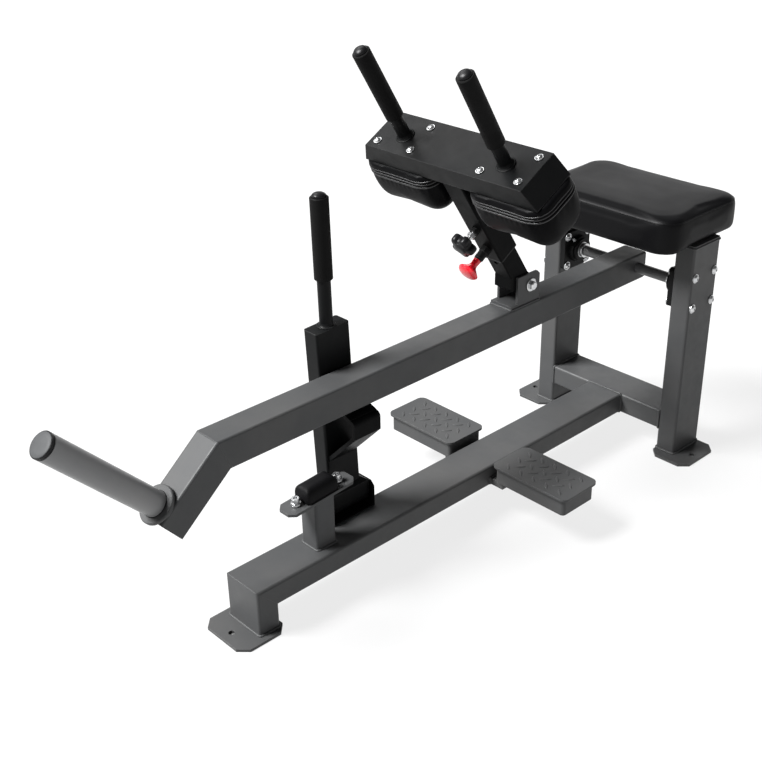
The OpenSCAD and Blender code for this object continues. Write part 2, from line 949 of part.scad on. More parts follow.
// Closed cushion on the plane z = 0 with a tucked lower edge, drawn-in sides and a crown
module cushion(w, d, h, r, edge, crown, pull) {
    // Each ring holds its scale, inset, height and draw
    rings = concat(
        [[1, 5, 0, 0], [1, 1.2, 4, pull / 2], [1, 0, 0.25 * h, pull], [1, 0, 0.45 * h, pull]],
        [for (a = [0:18:90])
            [1, edge * (1 - cos(a)), h - crown - edge + edge * sin(a), pull * (1 - a / 120)]],
        [for (f = [0.92, 0.8, 0.62, 0.4, 0.18]) [f, edge, h - crown * f * f, pull / 4]]);
    n = outline_points;
    last = len(rings) - 1;
    points = concat(
        [for (ring = rings)
            for (p = cushion_outline(w - 2 * ring[1], d - 2 * ring[1], r - 0.5 * ring[1], ring[3]))
                [p[0] * ring[0], p[1] * ring[0], ring[2]]],
        [[0, 0, 0], [0, 0, h]]);
    faces = concat(
        [for (i = [0:last - 1], j = [0:n - 1]) [i * n + j, (i + 1) * n + j, (i + 1) * n + (j + 1) % n]],
        [for (i = [0:last - 1], j = [0:n - 1]) [i * n + j, (i + 1) * n + (j + 1) % n, i * n + (j + 1) % n]],
        [for (j = [0:n - 1]) [(last + 1) * n, j, (j + 1) % n]],
        [for (j = [0:n - 1]) [(last + 1) * n + 1, last * n + (j + 1) % n, last * n + j]]);
    polyhedron(points, faces);
}

module seat_pad() {
    color(vinyl_black)
        difference() {
            translate([0, leg_back, board_z + soft_gap])
                cushion(seat_w, seat_d, seat_h + board_t - soft_gap - seat_plate_t, seat_r, 12, 5, 3);
            translate([0, leg_back, board_z - 1])
                linear_extrude(board_t + 1 + soft_gap)
                    round_rect(seat_w - 40 + 2 * soft_gap, seat_d - 40 + 2 * soft_gap, seat_r - 20);
        }
}

// Places children on the lever's front part: +Z leaves its top face, -Y runs down it from the bend
module on_drop() {
    translate([0, bend_y, lever_top])
        rotate([drop_angle, 0, 0])
            children();
}

// Places children on the horn's axis: z = 0 on the lever's face, +Z up the horn
module on_horn() {
    on_drop()
        translate([0, -horn_at, 0])
            rotate([horn_tilt, 0, 0])
                children();
}

// Half space on the rear side of the bend's mitre
module behind_mitre() {
    translate([0, bend_y, lever_top])
        rotate([drop_angle / 2, 0, 0])
            translate([-far / 2, 0, -far / 2])
                cube(far);
}

module lever_arm() {
    color(frame_grey)
        difference() {
            intersection() {
                translate([0, 0, axle_z])
                    along_y(bend_y - lever_w, lever_reach + lever_w + lever_tail)
                        box_ring(lever_w, lever_w, lever_r, lever_wall);
                behind_mitre();
            }
            translate([0, axle_y, axle_z])
                bar_x(-lever_w, 2 * lever_w, axle_d + 0.2);
        }
}

// Front part of the lever below the bend, closed at its end
module lever_nose() {
    in_w = lever_w - 2 * lever_wall;
    color(frame_grey)
        difference() {
            on_drop()
                translate([0, 0, -lever_w / 2])
                    difference() {
                        along_y(-drop_l, drop_l + lever_w)
                            round_rect(lever_w, lever_w, lever_r);
                        along_y(-drop_l + end_plate_t, drop_l + lever_w)
                            round_rect(in_w, in_w, lever_r - lever_wall);
                    }
            behind_mitre();
        }
}

// Ribbed plastic plug in the lever's rear end
module lever_tail_cap() {
    color(rubber_black)
        translate([0, axle_y + lever_tail, axle_z]) {
            along_y(seat_gap, 3.5)
                round_rect(lever_w - 1, lever_w - 1, lever_r);
            along_y(-8, 8 + seat_gap + 1)
                round_rect(lever_w - 2 * lever_wall - 0.4, lever_w - 2 * lever_wall - 0.4, 2);
        }
}

// Stepped collar welded to the lever's front part
module horn_collar() {
    color(frame_grey)
        on_horn()
            rotate_extrude()
                polygon([[0, -3], [collar_d / 2 - 8, -3], [collar_d / 2 - 5, 2], [collar_d / 2, 4],
                    [collar_d / 2, collar_t - 2], [collar_d / 2 - 2, collar_t], [0, collar_t]]);
}

module weight_horn() {
    color(frame_grey)
        on_horn()
            translate([0, 0, collar_t])
                difference() {
                    cylinder(d = horn_d, h = horn_l);
                    translate([0, 0, 10])
                        cylinder(d = horn_d - 8, h = horn_l);
                }
}

// Disc and neck of the cap in the horn's end, with a narrow groove under the disc
module horn_cap() {
    color(rubber_black)
        on_horn()
            translate([0, 0, collar_t + horn_l])
                rotate_extrude()
                    polygon([[0, -18], [horn_d / 2 - 4.3, -18], [horn_d / 2 - 4.3, seat_gap],
                        [horn_d / 2 - 1.5, seat_gap], [horn_d / 2 - 1.5, 2.5], [horn_d / 2, 3],
                        [horn_d / 2, 6.5], [horn_d / 2 - 1, 7.5], [0, 7.5]]);
}

module axle() {
    color(zinc)
        translate([0, axle_y, axle_z])
            bar_x(-leg_in + 2, leg_gap - 4, axle_d);
}

// Inner rings of the two bearings, each with a setscrew collar
module bearing_rings() {
    color(zinc)
        for (side = [-1, 1])
            translate([side * leg_in, axle_y, axle_z])
                rotate([0, -side * 90, 0])
                    difference() {
                        union() {
                            translate([0, 0, 3])
                                cylinder(d = ring_d, h = housing_h - 3);
                            translate([0, 0, housing_h])
                                cylinder(d = ring_d - 3, h = 9);
                        }
                        cylinder(d = axle_d + 0.1, h = housing_h + 20);
                        translate([0, 0, housing_h + 4.5])
                            rotate([0, 90, 0])
                                cylinder(d = 5, h = ring_d);
                    }
}

// Channel on the lever that takes the foot of the pad post
module pad_clevis() {
    in = pad_post_w / 2 + seat_gap;
    cut = 8;
    color(frame_grey)
        difference() {
            union() {
                translate([-in - clevis_ear_t, clevis_front, lever_top])
                    cube([2 * (in + clevis_ear_t), clevis_back - clevis_front, clevis_base_t]);
                for (x = [-in - clevis_ear_t, in])
                    along_x(x, clevis_ear_t)
                        polygon([[ear_front, clevis_top - 1], [clevis_back, clevis_top - 1],
                            [clevis_back, lever_top + clevis_h - cut],
                            [clevis_back - cut, lever_top + clevis_h], [ear_front, lever_top + clevis_h]]);
            }
            translate([0, clevis_y, lever_top + clevis_bolt_up])
                bar_x(-in - 2 * clevis_ear_t, 2 * in + 4 * clevis_ear_t, clevis_bolt_d + 0.4);
        }
}

// Bolt, washers and nut through the clevis
module clevis_bolt() {
    out = pad_post_w / 2 + clevis_ear_t + 2 * seat_gap;
    color(zinc)
        translate([0, clevis_y, lever_top + clevis_bolt_up]) {
            bar_x(-out - 1, 2 * out + 2, clevis_bolt_d);
            translate([out, 0, 0])
                rotate([0, 90, 0])
                    domed_head(clevis_bolt_d);
            translate([-out, 0, 0])
                rotate([0, -90, 0])
                    domed_head(clevis_bolt_d);
        }
}

// Places children on the pad carrier: z = 0 at the middle of its top, +Z square to it
module on_column() {
    translate([0, column_y, column_z])
        rotate([pad_lean, 0, 0])
            children();
}

// Places children on the pad post's axis: z = 0 at the pad carrier's top, +Z up the post
module on_post() {
    translate([0, post_y, post_z])
        rotate([post_lean, 0, 0])
            children();
}

// Sleeve that hangs from the pad carrier and slides on the pad post
module pad_sleeve() {
    color(satin_black)
        difference() {
            intersection() {
                on_post()
                    translate([0, 0, -sleeve_l])
                        linear_extrude(sleeve_l + sleeve_w)
                            round_rect(sleeve_w, sleeve_w, 4);
                on_column()
                    translate([-far / 2, -far / 2, -pan_t - far])
                        cube(far);
            }
            on_post()
                translate([0, 0, -far / 2])
                    linear_extrude(far)
                        square(sleeve_in, center = true);
            on_post()
                translate([0, 0, -clamp_down])
                    rotate([90, 0, 0])
                        cylinder(d = clamp_screw_d + 0.4, h = sleeve_w);
            on_post()
                translate([0, 0, -pin_down])
                    rotate([90, 0, 0])
                        cylinder(d = pin_d + 4, h = sleeve_w);
        }
}

// Plastic bush with a rim in the sleeve's lower mouth
module sleeve_liner() {
    color(rubber_black)
        on_post()
            difference() {
                union() {
                    translate([0, 0, -sleeve_l - seat_gap])
                        linear_extrude(liner_h)
                            square(sleeve_in - 0.2, center = true);
                    translate([0, 0, -sleeve_l - seat_gap - liner_rim])
                        linear_extrude(liner_rim)
                            round_rect(sleeve_w, sleeve_w, 4);
                }
                translate([0, 0, -sleeve_l - 2 * liner_rim])
                    linear_extrude(liner_h + 3 * liner_rim)
                        square(pad_post_w + 2 * fit_gap, center = true);
                translate([0, 0, -pin_down])
                    rotate([90, 0, 0])
                        cylinder(d = pin_d + 4, h = sleeve_w);
            }
}

// Threaded barrel of the pull pin and the boss of the clamp screw, on the sleeve's front face
module pull_pin_barrel() {
    color(zinc)
        on_post() {
            translate([0, -sleeve_w / 2, -pin_down])
                rotate([90, 0, 0])
                    difference() {
                        union() {
                            cylinder(d = 24, h = 12, $fn = 6);
                            cylinder(d = 20, h = barrel_l - 4);
                            cylinder(d = 17, h = barrel_l);
                        }
                        translate([0, 0, -1])
                            cylinder(d = pin_d + 2 * fit_gap, h = barrel_l + 2);
                    }
            translate([0, -sleeve_w / 2, -clamp_down])
                rotate([90, 0, 0])
                    difference() {
                        cylinder(d = 20, h = 10, $fn = 6);
                        translate([0, 0, -1])
                            cylinder(d = clamp_screw_d + 2 * fit_gap, h = 12);
                    }
        }
}

// Pin with its red mushroom knob, at rest with the tip just short of the post
module pull_pin() {
    tip = sleeve_w / 2 - pad_post_w / 2 - soft_gap;
    on_post()
        translate([0, -sleeve_w / 2, -pin_down])
            rotate([90, 0, 0]) {
                color(knob_red)
                    translate([0, 0, barrel_l + seat_gap])
                        rotate_extrude()
                            polygon(concat([[0, 0], [knob_stem_d / 2, 0], [knob_stem_d / 2 - 1, 12],
                                [knob_stem_d / 2 + 1, 18], [20, 28], [23, 31], [23, 33]],
                                [for (a = [0:15:90]) [21 * cos(a) + 1 - a / 90, 34 + 7 * sin(a)]]));
                color(zinc)
                    translate([0, 0, -tip])
                        cylinder(d = pin_d, h = tip + barrel_l + 6);
            }
}

// Five-lobed clamp knob on its screw
module clamp_knob() {
    tip = sleeve_w / 2 - pad_post_w / 2 - soft_gap;
    on_post()
        translate([0, -sleeve_w / 2, -clamp_down])
            rotate([90, 0, 0]) {
                color(rubber_black)
                    translate([0, 0, clamp_out]) {
                        cylinder(d1 = 22, d2 = 26, h = 6);
                        translate([0, 0, 5])
                            linear_extrude(18) {
                                circle(d = 41);
                                for (a = [54:72:342])
                                    rotate(a)
                                        translate([20, 0])
                                            circle(d = 18);
                            }
                        translate([0, 0, 22])
                            cylinder(d1 = 30, d2 = 22, h = 5);
                    }
                color(zinc)
                    translate([0, 0, -tip])
                        cylinder(d = clamp_screw_d, h = tip + clamp_out + 3);
            }
}

// Square post with a row of height holes in its front face and an upright foot in the clevis
module pad_post() {
    half = pad_post_w / 2 / cos(post_lean);
    foot_front = clevis_y - 58;
    foot_low = clevis_top + 24;
    kink_z = post_z - (foot_front + half - post_y) / tan(post_lean);
    back_low = post_y + (post_z - foot_low) * tan(post_lean) + half;
    back_kink = post_y + (post_z - kink_z) * tan(post_lean) + half;
    color(satin_black)
        difference() {
            union() {
                intersection() {
                    on_post()
                        translate([0, 0, -post_top - far])
                            linear_extrude(far)
                                round_rect(pad_post_w, pad_post_w, 3);
                    translate([-far / 2, -far, kink_z])
                        cube([far, far, far]);
                }
                along_x(-pad_post_w / 2, pad_post_w)
                    polygon([[foot_front, foot_low + 12], [foot_front + 20, foot_low],
                        [back_low, foot_low], [back_kink, kink_z], [foot_front, kink_z]]);
            }
            on_post()
                translate([0, 0, -post_bore])
                    linear_extrude(far)
                        square(pad_post_w - 2 * sleeve_wall, center = true);
            for (i = [-6:2])
                on_post()
                    translate([0, 0, -pin_down - i * hole_pitch])
                        rotate([90, 0, 0])
                            cylinder(d = hole_d, h = pad_post_w);
            translate([0, clevis_y, lever_top + clevis_bolt_up])
                bar_x(-pad_post_w, 2 * pad_post_w, clevis_bolt_d + 0.4);
        }
}

// Drawing of the pad carrier's front: a top with two flared ends
module pan_shape(inset) {
    polygon([[-pan_w / 2 + inset, -inset], [pan_w / 2 - inset, -inset],
        [pan_w / 2 + pan_flare - inset, -pan_h], [-pan_w / 2 - pan_flare + inset, -pan_h]]);
}

// Folded sheet tray, open below, drilled for the pad bolts
module pad_carrier() {
    color(satin_black)
        on_column()
            difference() {
                along_y(-pan_d / 2, pan_d)
                    pan_shape(0);
                along_y(-pan_d / 2 + pan_t, pan_d - 2 * pan_t)
                    intersection() {
                        pan_shape(pan_t);
                        translate([-far / 2, -far - pan_t])
                            square(far);
                    }
                translate([-far / 2, -far / 2, -pan_h - far + 0.01])
                    cube([far, far, far - 0.02]);
                knee_bolt_places()
                    translate([0, 0, -10])
                        cylinder(d = knee_bolt_d + 0.5, h = 20);
            }
}

// Repeats children at the eight pad bolts, on the pad carrier's top
module knee_bolt_places() {
    for (side = [-1, 1], x = [-1, 1], y = [-1, 1])
        translate([side * knee_x + x * knee_bolt_pitch_x / 2, y * knee_bolt_pitch_y / 2, 0])
            children();
}

// Boards inside the pad carrier that the knee pads are upholstered on
module knee_pad_boards() {
    color(rubber_black)
        on_column()
            difference() {
                for (side = [-1, 1])
                    translate([side * (knee_x - 6), 0, -pan_h])
                        linear_extrude(knee_board_t)
                            round_rect(knee_w - 30, pan_d - 2 * pan_t - 6, 12);
                knee_bolt_places()
                    translate([0, 0, -pan_h - 1])
                        cylinder(d = knee_bolt_d + 0.2, h = pan_h);
            }
}

module knee_pad_bolts() {
    color(zinc)
        on_column()
            knee_bolt_places() {
                translate([0, 0, seat_gap])
                    domed_head(knee_bolt_d);
                translate([0, 0, -pan_h + 2])
                    cylinder(d = knee_bolt_d, h = pan_h - 1);
            }
}

module knee_pad(side) {
    color(vinyl_black)
        on_column()
            translate([side * knee_x, 0, -pan_h - soft_gap])
                rotate([180, 0, 0])
                    cushion(knee_w, knee_d, knee_h, knee_r, 22, 6, 2.5);
}

module left_knee_pad() {
    knee_pad(-1);
}

module right_knee_pad() {
    knee_pad(1);
}

// Places children at the foot of a handle on the pad carrier
module on_handle(side) {
    on_column()
        translate([side * handle_pitch / 2, -3, -1])
            rotate([handle_ahead, 0, 0])
                children();
}

module left_handle() {
    on_handle(-1)
        handle_tube(handle_l);
}

module right_handle() {
    on_handle(1)
        handle_tube(handle_l);
}

module left_handle_grip() {
    on_handle(-1)
        grip(handle_l);
}

module right_handle_grip() {
    on_handle(1)
        grip(handle_l);
}

module handle_plugs() {
    for (side = [-1, 1])
        on_handle(side)
            plug(handle_l);
}

base_beam();
front_post();
front_foot_plate();
rear_cross_beam();
left_leg();
right_leg();
left_foot_plate();
right_foot_plate();
left_rest_arm();
right_rest_arm();
left_rest_box();
right_rest_box();
left_tread_plate();
right_tread_plate();
stop_post();
bumper_plate();
bumper_block();
bumper_bolts();
catch_bracket();
catch_pivot_bolt();
left_bearing_housing();
right_bearing_housing();
bearing_bolts();
left_seat_plate();
right_seat_plate();
seat_board();
seat_pad();
seat_bolts();
lever_arm();
lever_nose();
lever_tail_cap();
horn_collar();
weight_horn();
horn_cap();
axle();
bearing_rings();
pad_clevis();
clevis_bolt();
pad_sleeve();
sleeve_liner();
pull_pin_barrel();
pull_pin();
clamp_knob();
pad_post();
pad_carrier();
left_knee_pad();
right_knee_pad();
knee_pad_boards();
knee_pad_bolts();
left_handle();
right_handle();
left_handle_grip();
right_handle_grip();
handle_plugs();
catch_arm();
catch_hub();
catch_hook();
catch_handle();
catch_grip();
catch_plug();
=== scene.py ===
# %% [markdown]
# # A seated calf raise machine in the studio
#
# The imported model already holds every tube, plate, bolt and grip at its true size and place.
# What it lacks is what the eye enjoys: powder coat, stretched vinyl, piping, weld beads and
# the raised pattern of the tread plates. This lesson adds them one step at a time, always
# measured from the model, so that nothing has to be fitted by eye.

import math

import bpy
import numpy as np
from mathutils import Matrix, Vector, noise
from mathutils.bvhtree import BVHTree


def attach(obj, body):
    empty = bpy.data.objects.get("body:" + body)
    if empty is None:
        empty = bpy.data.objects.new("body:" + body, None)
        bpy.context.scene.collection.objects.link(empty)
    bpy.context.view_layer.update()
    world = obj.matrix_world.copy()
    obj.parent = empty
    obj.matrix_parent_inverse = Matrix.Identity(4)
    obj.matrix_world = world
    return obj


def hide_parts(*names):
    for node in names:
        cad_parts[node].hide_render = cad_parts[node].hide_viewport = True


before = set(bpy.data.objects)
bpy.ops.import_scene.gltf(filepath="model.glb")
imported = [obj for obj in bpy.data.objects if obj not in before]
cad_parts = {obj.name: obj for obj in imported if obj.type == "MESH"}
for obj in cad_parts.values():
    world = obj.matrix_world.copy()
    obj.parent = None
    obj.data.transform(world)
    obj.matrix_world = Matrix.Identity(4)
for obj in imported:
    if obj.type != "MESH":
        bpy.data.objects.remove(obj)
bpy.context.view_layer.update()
scene = bpy.context.scene
MM = 0.001

# %% [markdown]
# ## Camera
#
# A camera can be guessed until the picture looks right, or worked out from known sizes.
# Here a pinhole camera was fitted to corners of the frame, which gave an eye point, a
# viewing direction, a small roll and a focal length in pixels. Blender wants the focal
# length in millimetres on its sensor, so one proportion turns the one into the other.

# %% Camera at the photograph's viewpoint
PICTURE_PX = 762
FOCAL_PX = 1218.2
SENSOR_MM = 36.0
EYE = Vector((1.5805, -2.2296, 1.5422))
LOOK_RIGHT = Vector((0.6756, 0.7373, 0.0)).normalized()
LOOK_BACK = Vector((0.6516, -0.5971, 0.4679)).normalized()
ROLL = math.radians(-1.19)

look_up = LOOK_BACK.cross(LOOK_RIGHT)
rolled_right = LOOK_RIGHT * math.cos(ROLL) + look_up * math.sin(ROLL)
rolled_up = look_up * math.cos(ROLL) - LOOK_RIGHT * math.sin(ROLL)

camera_data = bpy.data.cameras.new("studio_camera")
camera_data.sensor_width = SENSOR_MM
camera_data.lens = FOCAL_PX / PICTURE_PX * SENSOR_MM
camera_data.clip_end = 200
camera = bpy.data.objects.new("studio_camera", camera_data)
camera.matrix_world = Matrix((rolled_right, rolled_up, LOOK_BACK)).transposed().to_4x4()
camera.matrix_world.translation = EYE
scene.collection.objects.link(camera)
scene.camera = camera
print("lens", round(camera_data.lens, 2), "mm")

# %% [markdown]
# ## Shader shorthand
#
# Every finish below is a small tree of nodes round one Principled shader. Making nodes by
# hand repeats the same three lines, so one helper makes a node, sets what is a number and
# joins what is a socket. Colours are given as the sRGB levels that a painter would read
# off a screen, and turned into the linear values that Blender works with.

# %% Colours, sockets and nodes
def linear(*levels):
    """sRGB levels from 0 to 255 as a linear colour with alpha; one level gives a grey."""
    if len(levels) == 1:
        levels = levels * 3
    parts = [v / 255 for v in levels]
    return tuple(p / 12.92 if p <= 0.04045 else ((p + 0.055) / 1.055) ** 2.4
                 for p in parts) + (1.0,)


def feed(tree, socket, value):
    """Joins value to the socket if it is a socket too, and otherwise sets it."""
    if isinstance(value, bpy.types.NodeSocket):
        tree.links.new(value, socket)
    else:
        socket.default_value = value


def add_node(tree, kind, sockets=None, **settings):
    """One shader node with its settings and its input sockets, by name or by number."""
    node = tree.nodes.new("ShaderNode" + kind)
    for name, value in settings.items():
        setattr(node, name, value)
    for name, value in (sockets or {}).items():
        feed(tree, node.inputs[name], value)
    return node


def start_finish(name, **uniform):
    """A material with a Principled shader; uniform values go straight on its sockets."""
    material = bpy.data.materials.new(name)
    material.use_nodes = True
    tree = material.node_tree
    shader = tree.nodes["Principled BSDF"]
    for socket, value in uniform.items():
        shader.inputs[socket.replace("_", " ")].default_value = value
    place = add_node(tree, "TexCoord").outputs["Object"]
    return material, tree, shader, place


print("sRGB level 128 is", round(linear(128)[0], 3), "in linear light")

# %% [markdown]
# ### Noise, ramps and bumps
#
# Real surfaces are never even, and the unevenness can be painted or computed. Computed
# noise is used here, because it covers a piece of any size without a seam. The same noise
# value is stretched over a range for gloss, run through a colour ramp for tone, or taken as
# a height for the bumps, whose depth is given in metres as everything else is.

# %% Noise, ramps, mixes and bumps
def grain(tree, place, scale, detail=3.0, roughness=0.5, stretch=None):
    """Noise of so many cells to the metre, stretched along an axis where asked."""
    if stretch:
        place = add_node(tree, "Mapping", {"Vector": place, "Scale": stretch}).outputs["Vector"]
    return add_node(tree, "TexNoise", {"Vector": place, "Scale": scale, "Detail": detail,
                                       "Roughness": roughness}).outputs["Fac"]


def spread(tree, value, low, high, from_low=0.3, from_high=0.7):
    """Stretches a noise value over the range low to high."""
    return add_node(tree, "MapRange", {"Value": value, "From Min": from_low, "From Max": from_high,
                                       "To Min": low, "To Max": high}).outputs["Result"]


def ramp(tree, value, *stops):
    """Colour ramp with stops of (position, colour)."""
    node = add_node(tree, "ValToRGB", {"Fac": value})
    marks = node.color_ramp.elements
    while len(marks) < len(stops):
        marks.new(0.5)
    for mark, (position, colour) in zip(marks, stops):
        mark.position = position
        mark.color = colour
    return node.outputs["Color"]


def mix(tree, share, first, second):
    """Colour mix: share 0 gives the first, 1 the second."""
    node = add_node(tree, "Mix", data_type="RGBA")
    for index, value in ((0, share), (6, first), (7, second)):
        feed(tree, node.inputs[index], value)
    return node.outputs[2]


def bump(tree, height, strength, depth, under=None):
    """Bump of a real depth in metres, over another normal if one is given."""
    sockets = {"Height": height, "Strength": strength, "Distance": depth}
    if under is not None:
        sockets["Normal"] = under
    return add_node(tree, "Bump", sockets).outputs["Normal"]


# %% [markdown]
# ### Soft edges
# A drawn edge is perfectly sharp, a steel one never is, and the thin line of light along
# it is much of what makes metal look real. The meshes must stay as they are, so the edge is
# rounded in the shader: the Bevel node bends the normal near an edge. Where the bent normal
# differs from the flat one there is an edge, which gives a mask for paler edges as well:
# thinner paint, and a painted highlight along the edge.

# %% Rounded normal and edge mask
def soft_edge(tree, radius):
    """Normal that rounds the steel's sharp edges by a radius, and a mask of those edges."""
    rounded = add_node(tree, "Bevel", {"Radius": radius}, samples=4).outputs["Normal"]
    flat = add_node(tree, "NewGeometry").outputs["Normal"]
    agree = add_node(tree, "VectorMath", {0: rounded, 1: flat}, operation="DOT_PRODUCT")
    mask = spread(tree, agree.outputs["Value"], 1.0, 0.0, 0.82, 0.995)
    return rounded, mask


# %% [markdown]
# ## Powder coat
#
# The frame is welded steel tube, dusted with dry paint and baked. Such a coat is satin,
# flows a little thin over sharp edges, and has a fine orange peel. It could be a plain
# grey, but then the big faces look like plastic. Broad mottling, a finer change of gloss,
# a peel about a millimetre across and slightly paler edges make it read as baked paint.
# The paler edges are partly thin paint and partly a painted highlight. The black pieces
# have the same recipe with other numbers, and the cast bearing housings a coarser skin.

# %% Powder coats and cast iron
def powder_coat(name, level, gloss, shine, peel=0.12, peel_scale=620, edge_wear_and_highlight=1.5, edge=1.4):
    """Baked paint of an sRGB grey level; gloss is its roughness, shine how much it mirrors."""
    material, tree, shader, place = start_finish(name, Specular_IOR_Level=shine)
    rounded, edges = soft_edge(tree, edge * MM)
    mottle = grain(tree, place, 5.5, 4, 0.6)
    body = ramp(tree, mottle, (0.32, linear(level - 4, level - 3, level - 2)),
                (0.68, linear(level + 4)))
    # Paler edges: partly thinner paint, partly a painted highlight along every edge.
    thin_and_highlit_edge = linear(min(255, level * edge_wear_and_highlight))
    share = spread(tree, edges, 0.0, 0.4, 0.0, 1.0)
    feed(tree, shader.inputs["Base Color"], mix(tree, share, body, thin_and_highlit_edge))
    gloss_map = spread(tree, grain(tree, place, 38, 5, 0.6), gloss - 0.05, gloss + 0.07)
    feed(tree, shader.inputs["Roughness"], gloss_map)
    skin = grain(tree, place, peel_scale, 2, 0.5)
    feed(tree, shader.inputs["Normal"], bump(tree, skin, peel, 0.35 * MM, rounded))
    return material


FRAME_GREY = 58
BLACK_COAT = 15
frame_paint = powder_coat("frame_paint", FRAME_GREY, 0.44, 0.2)
# A lighter copy of the frame grey: painted highlight for the light the horn catches, with a little
# more gloss.
lit_horn_paint = powder_coat("lit_horn_paint", 108, 0.33, 0.3, peel=0.06)
# The black paint's much paler edges are mostly a painted highlight along its folds.
black_paint = powder_coat("black_paint", BLACK_COAT, 0.38, 0.07, edge_wear_and_highlight=5.0, edge=2.6)
# A darker copy of the black paint: painted shade on the post, the sleeve, the catch bracket and
# the hook.
shaded_black_paint = powder_coat("shaded_black_paint", BLACK_COAT - 6, 0.42, 0.03, edge_wear_and_highlight=4.0)
cast_black = powder_coat("cast_black", BLACK_COAT, 0.5, 0.08, 0.5, 260, 2.0)
shaft_paint = powder_coat("shaft_paint", 84, 0.34, 0.5, peel=0.04)
print("paints", sorted(m.name for m in bpy.data.materials if "paint" in m.name))

# %% [markdown]
# ## Zinc plate
#
# Bolts, nuts and washers are zinc plated: a bright metal with faint spangle and handling
# marks. A plain mirror-like metal would look like chrome, so Voronoi cells give the
# spangle, a noise dulls the plate in patches, and fine stretched lines stand for the marks
# that turning leaves.

# %% Zinc plate
def zinc_plate(name, level, gloss):
    """Bright plated steel with spangle and fine turning marks."""
    material, tree, shader, place = start_finish(name, Metallic=1.0)
    rounded = soft_edge(tree, 0.5 * MM)[0]
    spangle = add_node(tree, "TexVoronoi", {"Vector": place, "Scale": 260.0}).outputs["Color"]
    tone = add_node(tree, "RGBToBW", {"Color": spangle}).outputs["Val"]
    plate = ramp(tree, tone, (0.2, linear(level - 16, level - 14, level - 12)),
                 (0.8, linear(level)))
    smear = grain(tree, place, 90, 5, 0.65)
    dull = spread(tree, smear, 0.0, 0.45, 0.5, 0.8)
    feed(tree, shader.inputs["Base Color"], mix(tree, dull, plate, linear(level - 50)))
    feed(tree, shader.inputs["Roughness"], spread(tree, smear, gloss - 0.06, gloss + 0.14))
    lines = grain(tree, place, 900, 2, 0.5, (1.0, 0.25, 1.0))
    feed(tree, shader.inputs["Normal"], bump(tree, lines, 0.1, 0.1 * MM, rounded))
    return material


zinc = zinc_plate("zinc_steel", 205, 0.27)
print("plating", zinc.name, "with", len(zinc.node_tree.nodes), "nodes")

# %% [markdown]
# ## Rubber and moulded plastic
#
# The bumper and the grips are rubber, nearly black and dull, with a fine crumb. The knob,
# the plugs and the caps are moulded plastic, smoother and with more shine, and the pull
# pin's head is glossy red. All of them are one colour all through, so one recipe serves,
# and what tells them apart is how rough they are and how fine and deep their skin is.

# %% Rubber and moulded plastic
def moulded(name, colour, gloss, shine, crumb, crumb_depth, crumb_scale, coat=0.0, lift=1.25):
    """Rubber or plastic: colour, roughness, mirror, and how strong and fine its skin is."""
    material, tree, shader, place = start_finish(name, Coat_Weight=coat, Coat_Roughness=0.12,
                                                 Specular_IOR_Level=shine)
    rounded = soft_edge(tree, 0.7 * MM)[0]
    lighter = linear(*[min(255, v * lift + 2) for v in colour])
    cloud = grain(tree, place, 22, 4, 0.6)
    feed(tree, shader.inputs["Base Color"],
         ramp(tree, cloud, (0.3, linear(*colour)), (0.75, lighter)))
    feed(tree, shader.inputs["Roughness"],
         spread(tree, grain(tree, place, 60, 4, 0.6), gloss - 0.05, gloss + 0.08))
    skin = grain(tree, place, crumb_scale, 3, 0.6)
    feed(tree, shader.inputs["Normal"], bump(tree, skin, crumb, crumb_depth, rounded))
    return material


bumper_rubber = moulded("black_rubber", (10, 10, 11), 0.48, 0.05, 0.2, 0.3 * MM, 700)
grip_rubber = moulded("grip_rubber", (11, 11, 11), 0.6, 0.06, 0.5, 0.4 * MM, 1100)
black_plastic = moulded("black_plastic", (13, 13, 14), 0.34, 0.14, 0.12, 0.2 * MM, 500)
# Pale grey for the painted sheen on the face of the horn's black cap.
cap_sheen_grey = moulded("cap_sheen_grey", (56, 57, 58), 0.5, 0.15, 0.35, 0.3 * MM, 420, lift=1.15)
red_plastic = moulded("red_plastic", (186, 14, 30), 0.24, 0.4, 0.05, 0.2 * MM, 300, coat=0.4,
                      lift=1.1)
print("moulded", [m.name for m in bpy.data.materials if "rubber" in m.name or "plastic" in m.name])

# %% [markdown]
# ## Stained plywood
#
# Boards of birch plywood carry the cushions. They hardly show, but light falls on them and
# bounces to the axle below, and pale wood made the axle look brown. So the wood is stained
# black, with a long grain: a noise that is stretched far more one way than the other.

# %% Plywood
def plywood(name):
    """Birch ply stained black, with long grain along the board."""
    material, tree, shader, place = start_finish(name)
    figure = grain(tree, place, 14, 6, 0.6, (0.6, 7.0, 30.0))
    feed(tree, shader.inputs["Base Color"],
         ramp(tree, figure, (0.3, linear(38, 35, 32)), (0.7, linear(58, 54, 50))))
    feed(tree, shader.inputs["Roughness"], spread(tree, figure, 0.6, 0.8))
    feed(tree, shader.inputs["Normal"], bump(tree, figure, 0.3, 0.3 * MM))
    return material


board_wood = plywood("board_wood")
print("finishes", len(bpy.data.materials))

# %% [markdown]
# ## Vinyl
#
# The cushions are covered with coated upholstery fabric, embossed to look like leather.
# A photograph of leather could be laid on, but a texture that is computed never repeats
# and needs no unwrapping. Voronoi cells give the pebbles, a finer noise the pores, and a
# broad noise the places where the cover is pulled tighter and shines more.

